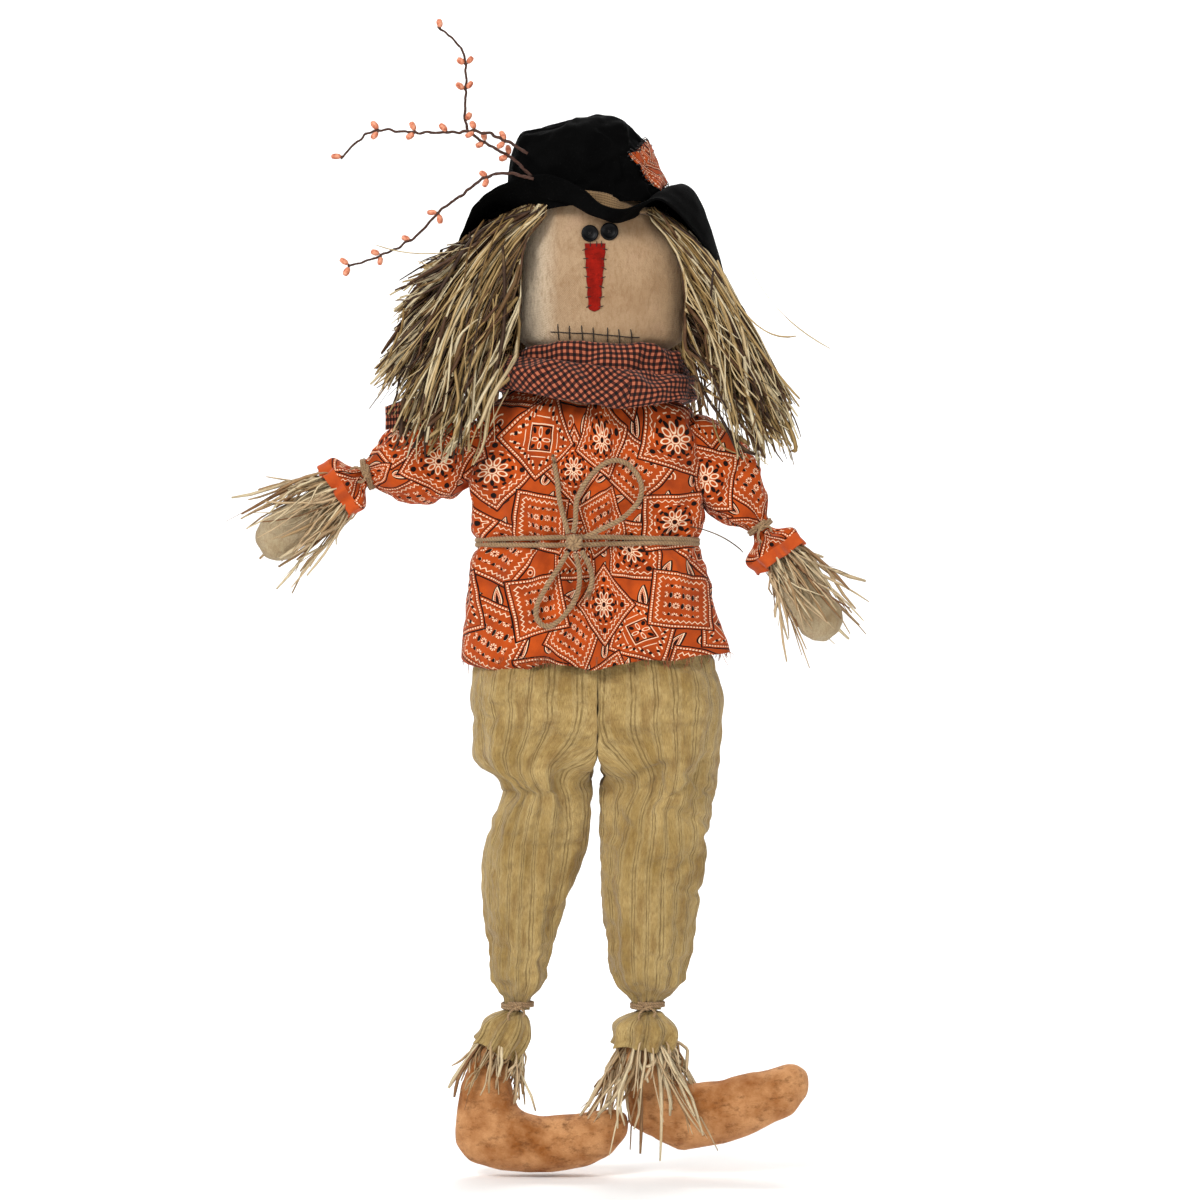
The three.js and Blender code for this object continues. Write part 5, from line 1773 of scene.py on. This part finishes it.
def add_twigs():
    rng = random.Random(21)
    for name, (route, shares) in TWIGS.items():
        line, _ = smooth_route([place(*spot) for spot in route], 0.0016)
        run = np.linspace(0, 1, len(line))
        kinks = np.array([[noise.noise(Vector((r * 26, k * 9.0, len(name)))) for k in range(3)] for r in run])
        line = line + kinks * 0.0018 * np.minimum(1, run * 8)[:, None]
        lumps = np.array([1 + 0.22 * noise.noise(Vector((r * 60, 3.0, len(name)))) for r in run])
        pieces = [tube(name, line, 0.00165 * lumps * (1 - 0.35 * run), sides=9)]
        fruit = []
        for k, share in enumerate(shares):
            at = min(len(line) - 3, int(share * (len(line) - 1)))
            spot, ahead = Vector(line[at]), Vector(line[at + 2] - line[at - 2]).normalized()
            side = ahead.cross(FRONT).normalized()
            for turn in (1, -1) if k % 3 != 2 else (1,):
                way = ahead * 0.75 + side * turn * 0.8 + FRONT * rng.uniform(-0.2, 0.35)
                stem, _ = smooth_route([spot, spot + way * 0.0012, spot + way * 0.0026], 0.0005)
                pieces.append(tube("stem", stem, 0.0008, sides=7))
                fruit.append(berry_mesh("berry", spot + way.normalized() * 0.0010, way, rng))
        twig = joined(f"{name}_wire", pieces)
        finish_piece(twig, "bark", "head", name, slot="twig")
        finish_piece(joined(f"{name}_berries", fruit), "berry", "head", slot="twig")


def add_hanger(crown):
    """The jute loop behind the crown and the felt tab that holds its two ends."""
    tree = tree_of(crown)

    def on_back(x, z, out):
        """The place across from the crown's back, which the piece stands out from."""
        hit, _, _, _ = tree.ray_cast(Vector((x, ORIGIN.y + 0.3, z)), FRONT, 0.3)
        return hit.y + out

    low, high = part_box("hanging_loop")
    radius = 0.0022
    half = (high.x - low.x) / 2 - radius
    middle, back = (low.x + high.x) / 2, (low.y + high.y) / 2
    crest = high.z - radius
    foot = on_back(middle, low.z + 0.003, radius)
    route = [
        (middle - half, foot, low.z + 0.001), (middle - half, back, (low.z + crest) / 2),
        (middle - half * 0.98, back, crest - half), (middle - half * 0.7, back, crest - half * 0.32),
        (middle, back, crest), (middle + half * 0.7, back, crest - half * 0.32),
        (middle + half * 0.98, back, crest - half), (middle + half, back, (low.z + crest) / 2),
        (middle + half, foot, low.z + 0.001),
    ]
    path, _ = smooth_route(route, 0.001)
    loop = tube("hanging_loop_cord", path, radius, lobes=3, pitch=0.009, sides=12)
    finish_piece(loop, "jute", "head", "hanging_loop", slot="jute")
    loop_foot = low.z
    low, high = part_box("loop_tab")
    rows, columns = 12, 16
    spots = np.empty((rows, columns, 3))
    for i in range(rows):
        for j in range(columns):
            u, v = j / (columns - 1), i / (rows - 1)
            pucker = 0.0005 * noise.noise(Vector((u * 4, v * 4, 2.0)))
            x, z = low.x + (high.x - low.x) * u, low.z + (high.z - low.z) * v
            over_cord = 0.0042 * min(1, max(0, (z - loop_foot + 0.002) / 0.006))
            spots[i, j] = (x, on_back(x, z, 0.0012 + over_cord) + pucker, z)
    tab = grid_object("loop_tab_felt", spots, closed=False)
    bake(tab, "SOLIDIFY", thickness=0.0013, offset=0)
    bake(tab, "BEVEL", width=0.0004, segments=2)
    finish_piece(tab, "hat_cloth", "head", "loop_tab", slot="hat_cloth")


# ------------------------------------------------------------------ scarf


SCARF_FOLD = 0.034  # where the lower drape is folded over, across


def scarf_ring(name, node, profile, rise, size, fold, seed, cloth):
    """Cloth wound round the neck: a profile of (out, up) points swept round, with slanting folds."""
    low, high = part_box(node)
    centre, half = (low + high) / 2, (high - low) / 2
    turns, rows = 220, 34
    reach, _ = smooth_route([(a, 0, b) for a, b in profile], 0.0004)
    pick = np.linspace(0, len(reach) - 1, rows).astype(int)
    outs, ups = reach[pick, 0], reach[pick, 2]
    points = np.empty((rows, turns, 3))
    for j in range(turns):
        a = TWO_PI * j / turns
        c, s = math.sin(a), math.cos(a)
        shape = (abs(c) ** 2.3 + abs(s) ** 2.3) ** (-1 / 2.3)
        bend = noise.noise(Vector((c * 2.2, s * 2.2, seed)))
        for i in range(rows):
            t = i / (rows - 1)
            swell = math.sin(math.pi * t) ** 0.7
            ridge = math.sin((t * 1.7 + c * 0.8 + bend * 1.4) * TWO_PI) * fold * swell
            ridge += noise.noise(Vector((c * 3.5 + t, s * 3.5, t * 2.2 + seed))) * fold * 1.6 * (0.3 + swell)
            ridge += noise.noise(Vector((c * 11, s * 11, t * 3 + seed))) * fold * 0.5
            x = centre.x + c * shape * (half.x + outs[i] + ridge - size)
            if cloth == "bias" and s < 0:
                ridge -= 0.0024 * math.exp(-(((x - SCARF_FOLD) / 0.0035) ** 2)) * swell
            points[i, j] = (
                x, centre.y + s * shape * (half.y + outs[i] + ridge - size),
                ORIGIN.z + ups[i] + rise(c, s, t) + ridge * 0.4,
            )
    ring = grid_object(name, points)
    bake(ring, "SUBSURF", levels=1)
    bake(ring, "SOLIDIFY", thickness=0.0010, offset=-1)
    ring.data.materials.append(MATERIALS["gingham"])
    ring.data.materials.append(MATERIALS["gingham_bias"])
    if cloth == "bias":
        for face in ring.data.polygons:
            face.material_index = int(face.center.x < SCARF_FOLD and face.center.y < ORIGIN.y)
    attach(ring, "torso")
    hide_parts(node)


def add_scarf():
    upper = [(-0.020, 0.808), (-0.012, 0.820), (-0.005, 0.826), (0.001, 0.823), (0.0035, 0.812),
             (0.004, 0.800), (0.002, 0.790), (-0.006, 0.783)]

    def upper_rise(c, s, t):
        return -0.016 * abs(c) ** 3 * (1 - t) - 0.004 * (1 + min(0, s)) * (1 - t)

    scarf_ring("scarf_upper_band", "scarf_roll", upper, upper_rise, 0.004, 0.0024, 3.0, "plain")
    lower = [(-0.016, 0.800), (-0.004, 0.802), (0.003, 0.794), (0.007, 0.784), (0.008, 0.773),
             (0.007, 0.765), (0.003, 0.760), (-0.004, 0.761)]

    def lower_rise(c, s, t):
        return 0.020 * abs(c - 0.25) ** 1.3 * t - 0.013 * c * (1 - t)

    scarf_ring("scarf_lower_drape", "scarf_drape", lower, lower_rise, 0.001, 0.0026, 8.0, "bias")
    low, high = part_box("scarf_tail")
    rows, columns = 12, 34
    spots = np.empty((rows, columns, 3))
    for i in range(rows):
        for j in range(columns):
            u, v = j / (columns - 1), i / (rows - 1)
            along = high.x + (low.x - high.x) * u
            wide = 0.009 + 0.006 * u
            narrowed = 1 - 0.5 * max(0, u - 0.8) * 5 * (1 - v)
            up = (high.z - 0.010) - 0.011 * u + (0.5 - v) * 2 * wide * narrowed
            back = (low.y + high.y) / 2 + 0.0022 * math.sin(v * 7 + u * 3) + 0.0015 * math.sin(u * 9)
            spots[i, j] = (along, back, up)
    tail = grid_object("scarf_tail_end", spots, closed=False)
    bake(tail, "SOLIDIFY", thickness=0.0010, offset=0)
    finish_piece(tail, "gingham", "torso", "scarf_tail", slot="gingham")


# ------------------------------------------------------------------ straw


def bezier(a, b, c, steps):
    """Lines from a to c that lean towards b, one for each row of the three arrays."""
    t = np.linspace(0, 1, steps)[None, :, None]
    return a[:, None] * (1 - t) ** 2 + b[:, None] * 2 * t * (1 - t) + c[:, None] * t ** 2


def inside(node, count, rng):
    """Random places inside a CAD solid."""
    low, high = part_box(node)
    tree = nodes_tree(node)
    found = []
    while len(found) < count:
        spot = Vector(low[k] + (high[k] - low[k]) * rng.random() for k in range(3))
        crossings, start = 0, spot
        while True:
            hit = tree.ray_cast(start, Vector((0.013, 0.021, 1)).normalized(), 1.0)
            if hit[0] is None:
                break
            crossings += 1
            start = hit[0] + Vector((0.013, 0.021, 1)).normalized() * 1e-5
        if crossings % 2:
            found.append(spot)
    return np.array(found)


def wavy(lines, amount, rng):
    """Small bends and kinks along each line, none at its root."""
    count, steps = lines.shape[:2]
    t = np.linspace(0, 1, steps)[None, :, None]
    slow = rng.normal(size=(count, 1, 3)) * np.sin(t * math.pi * 1.3)
    fast = rng.normal(size=(count, 1, 3)) * np.sin(t * math.pi * 3 + rng.random((count, 1, 1)) * 6) * t
    return lines + (slow + fast * 0.45) * amount


# The bare part of the face: height, and the places across where hair begins on each side.
FACE_SIDE = [
    (0.70, -0.070, 0.080), (0.80, -0.078, 0.088), (0.83, -0.076, 0.088), (0.87, -0.073, 0.090),
    (0.905, -0.073, 0.086),
    (0.927, -0.068, 0.073), (0.937, -0.062, 0.066), (0.955, -0.042, 0.047), (0.962, -0.036, 0.042),
]


def clear_of_head(lines):
    """Pushes points out of the head, sideways from its middle, and off the face."""
    middle = np.array(place(0, 0, 0.9))
    gap = lines - middle
    wide, deep = 0.0905, 0.0625
    how_far = np.sqrt((gap[..., 0] / wide) ** 2 + (gap[..., 1] / deep) ** 2)
    push = np.where((how_far < 1) & (gap[..., 2] > -0.085), 1 / np.maximum(how_far, 0.3), 1)
    gap[..., 0] *= push
    gap[..., 1] *= push
    up = gap[..., 2] + 0.9
    face_side = np.interp(up, *np.array(FACE_SIDE).T[[0, 1]]), np.interp(up, *np.array(FACE_SIDE).T[[0, 2]])
    front = gap[..., 1] < 0.01
    right_of = np.where(front & (gap[..., 0] < 0.01), np.minimum(gap[..., 0], face_side[0]), gap[..., 0])
    gap[..., 0] = np.where(front & (gap[..., 0] >= 0.01), np.maximum(gap[..., 0], face_side[1]), right_of)
    return middle + gap


# How far each side's hair reaches across at each height, from low to high.
HAIR_REACH = {
    -1: [
        (0.70, 0.135), (0.73, 0.180), (0.77, 0.213), (0.82, 0.203), (0.87, 0.193), (0.92, 0.160),
        (0.95, 0.100),
    ],
    1: [
        (0.70, 0.170), (0.72, 0.192), (0.77, 0.188), (0.82, 0.166), (0.87, 0.139), (0.89, 0.122),
        (0.95, 0.070),
    ],
}
# The height under the brim that hair keeps below, by place across.
HAIR_TOP = [
    (-0.21, 0.870), (-0.165, 0.918), (-0.137, 0.925), (-0.104, 0.950), (-0.075, 0.961), (-0.039, 0.967),
    (0.045, 0.954), (0.058, 0.960), (0.087, 0.942), (0.109, 0.917), (0.129, 0.889), (0.142, 0.862),
    (0.158, 0.835), (0.172, 0.806), (0.188, 0.775), (0.21, 0.748),
]


def add_hair():
    """Three bunches of raffia that hang from under the brim, cut to many lengths."""
    rng = np.random.default_rng(77)
    bunches = {
        "hair_right": (1300, -1, 30, 140), "hair_left": (1300, 1, 34, 140), "hair_back": (1150, 0, 118, 242),
    }
    for node, (count, side, first, last) in bunches.items():
        tips = inside(node, count, rng)
        low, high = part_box(node)
        depth = (tips[:, 1] - low.y) / (high.y - low.y)
        if side:
            out_to = np.interp(tips[:, 2] - ORIGIN.z, *np.array(HAIR_REACH[side]).T)
            pushed = rng.random(count) < 0.40
            tips[:, 0] = np.where(pushed, side * out_to * (0.82 + 0.21 * rng.random(count)), tips[:, 0])
            turn = np.radians(first + (last - first) * np.clip(depth + rng.normal(size=count) * 0.08, 0, 1))
            root = np.stack([side * np.sin(turn) * 0.074, -np.cos(turn) * 0.053, np.full(count, 0.960)], 1)
            bulge_out, bulge_up = 0.084 + 0.050 * rng.random(count), 0.938 - 0.03 * rng.random(count)
            bulge = np.stack([side * bulge_out, -np.cos(turn) * 0.068, bulge_up], 1)
        else:
            beside = rng.random(count) < 0.30
            wide = np.sign(tips[:, 0]) * (0.080 + 0.032 * rng.random(count))
            tips[:, 0] = np.where(beside, wide, tips[:, 0])
            across = (tips[:, 0] - low.x) / (high.x - low.x)
            root = np.stack([(across - 0.5) * 0.15, np.full(count, 0.046), np.full(count, 0.958)], 1)
            root[:, 1] -= root[:, 0] ** 2 * 3.5
            bulge = np.stack([root[:, 0] * 1.2, np.full(count, 0.078), np.full(count, 0.935)], 1)
        root += np.array(ORIGIN) + rng.normal(size=(count, 3)) * 0.003
        bulge += np.array(ORIGIN)
        way = tips - root
        long = np.linalg.norm(way, axis=1)[:, None]
        loose = (rng.random(count) < 0.55)[:, None] & (long > 0.06)
        short = np.minimum(long, 0.05 + 0.09 * rng.random((count, 1)))
        start = tips - way / long * short + np.clip(rng.normal(size=(count, 3)), -1.5, 1.5) * short * 0.21
        start[:, 1] += 0.008
        start[:, 2] = np.minimum(start[:, 2], ORIGIN.z + 0.952)
        half_way = (start + tips) / 2 + rng.normal(size=(count, 3)) * 0.006
        lines = bezier(np.where(loose, start, root), np.where(loose, half_way, bulge), tips, 10)
        lines = wavy(lines, 0.0042, rng)
        if side:
            lines[..., 0] = side * np.maximum(side * lines[..., 0], 0.045)
        lines = clear_of_head(lines)
        over = lines[..., 2] - ORIGIN.z - np.interp(lines[..., 0], *np.array(HAIR_TOP).T)
        lines[..., 2] -= np.maximum(over, 0) * 0.93
        lines[..., 1] -= np.maximum(lines[..., 1] - ORIGIN.y - 0.100, 0) * 0.75
        widths = 0.0014 + 0.0038 * rng.random(count) ** 1.6
        # painted shade: blades whose tips lie deep in a bunch, far from its surfaces, get darker tones
        nearest = high.y - tips[:, 1]
        if side:
            nearest = np.minimum(nearest, np.minimum(tips[:, 1] - low.y, out_to - abs(tips[:, 0])))
        painted_shade = np.clip((nearest - 0.012) / 0.034, 0, 1)
        tones = rng.beta(0.6, 0.6, count) * (1 - 0.88 * painted_shade)
        hair = blades(f"{node}_raffia", lines, widths, tones, rng)
        finish_piece(hair, "straw", "head", node, slot="straw")


def add_stray_hair():
    """The few long raffia blades that stand away from the bunches."""
    rng = np.random.default_rng(9)
    strays = [
        ((0.150, -0.060, 0.905), (0.172, -0.066, 0.850), (0.231, -0.062, 0.819), 0.0012),
        ((0.120, -0.070, 0.905), (0.150, -0.082, 0.820), (0.196, -0.090, 0.829), 0.0042),
        ((-0.120, -0.056, 0.920), (-0.170, -0.054, 0.905), (-0.216, -0.050, 0.922), 0.0012),
        ((0.110, -0.064, 0.900), (0.168, -0.080, 0.800), (0.200, -0.086, 0.768), 0.0034),
        ((-0.110, -0.064, 0.900), (-0.178, -0.080, 0.830), (-0.212, -0.084, 0.772), 0.0032),
    ]
    lines, widths = [], []
    for a, b, c, width in strays:
        ends = [np.array([place(*p)]) for p in (a, b, c)]
        lines.append(bezier(*ends, 12)[0])
        widths.append(width)
    stray = blades("hair_strays", lines, widths, [0.7, 0.6, 0.75, 0.5, 0.6], rng)
    finish_piece(stray, "straw", "head", slot="straw")
    spots = ((0.090, -0.030, 0.645), (0.125, -0.034, 0.640), (0.147, -0.030, 0.619))
    ends = [np.array([place(*spot)]) for spot in spots]
    waist = blades("waist_stray", [bezier(*ends, 12)[0]], [0.0036], [0.12], rng)
    finish_piece(waist, "straw", "torso", slot="straw")


def straw_skirt(name, node, body, root, way, lengths, radii, count, seed):
    """Straw tucked under a cuff, fanning out unevenly round the hand or boot."""
    rng = np.random.default_rng(seed)
    first = way.cross(FRONT).normalized()
    second = way.cross(first).normalized()
    turn = rng.random(count) * TWO_PI
    share = np.sqrt(rng.random(count))
    ring = np.cos(turn)[:, None] * np.array(first) + np.sin(turn)[:, None] * np.array(second)
    start = np.array(root) + ring * (radii[0] * (0.55 + 0.35 * share))[:, None]
    length = lengths[0] + (lengths[1] - lengths[0]) * rng.random(count) ** 1.5
    spread = radii[1] + (radii[2] - radii[1]) * (length - lengths[0]) / (lengths[1] - lengths[0])
    end = np.array(root) + np.array(way) * length[:, None] + ring * (spread * (0.70 + 0.45 * share))[:, None]
    end += rng.normal(size=(count, 3)) * (length * 0.13)[:, None]
    middle = start + np.array(way) * (length * 0.4)[:, None] + ring * radii[1] * 0.75
    lines = wavy(bezier(start, middle, end, 8), 0.0032, rng)
    widths = 0.0016 + 0.0032 * rng.random(count) ** 1.3
    # painted shade: blades at the back of the skirt get darker tones
    tones = rng.beta(1.9, 1.0, count) * (0.55 + 0.45 * (ring[:, 1] < 0.3))
    straw_piece = blades(name, lines, widths, tones, rng)
    finish_piece(straw_piece, "warm_straw", body, node, slot="straw")


def add_limb_straw():
    for name, side in SIDES.items():
        wrist, way = wrist_of(name), droop_way(name, HAND_DROOP)
        girth = 1.0 if name == "right" else 0.78
        straw_skirt(
            f"{name}_wrist_straws", f"{name}_wrist_straw", f"{name}_hand", wrist + way * 0.022, way,
            (0.034, 0.104), (0.018 * girth, 0.022 * girth, 0.046 * girth), 140, 40 + side,
        )
    straw_skirt(
        "right_ankle_straws", "right_ankle_straw", "right_foot", place(-0.094, 0, 0.134),
        Vector((-0.24, 0, -1)).normalized(), (0.030, 0.068), (0.016, 0.020, 0.034), 110, 51,
    )
    straw_skirt(
        "left_ankle_straws", "left_ankle_straw", "left_foot", place(0.050, 0, 0.136),
        Vector((0.04, 0, -1)).normalized(), (0.030, 0.105), (0.019, 0.030, 0.070), 160, 52,
    )


# ------------------------------------------------------------------ the whole figure


def build():
    add_camera()
    make_materials()
    add_bow()
    add_studio()
    pads = make_pads()
    shirt = make_shirt()
    sleeves = {name: make_sleeve(name) for name in SIDES}
    halves = {name: make_trousers(name) for name in SIDES}
    crown = make_crown()
    simulate()
    finish_clothes(shirt, sleeves, halves)
    add_belt(shirt)
    add_cuffs_and_ties()
    add_face(pads["head"])
    pad_looks = (("hand", "hand", "hand_muslin", "muslin"), ("boot", "foot", "boot_felt", "boot_cloth"))
    for name in SIDES:
        for part, body, cloth, slot in pad_looks:
            piece = pads[f"{name}_{part}"]
            finish_piece(piece, cloth, f"{name}_{body}", f"{name}_{part}", slot=slot)
    add_band_and_patch(crown)
    add_brim(crown)
    add_twigs()
    add_hanger(crown)
    add_scarf()
    add_hair()
    add_stray_hair()
    add_limb_straw()
    add_stuffing()


build()
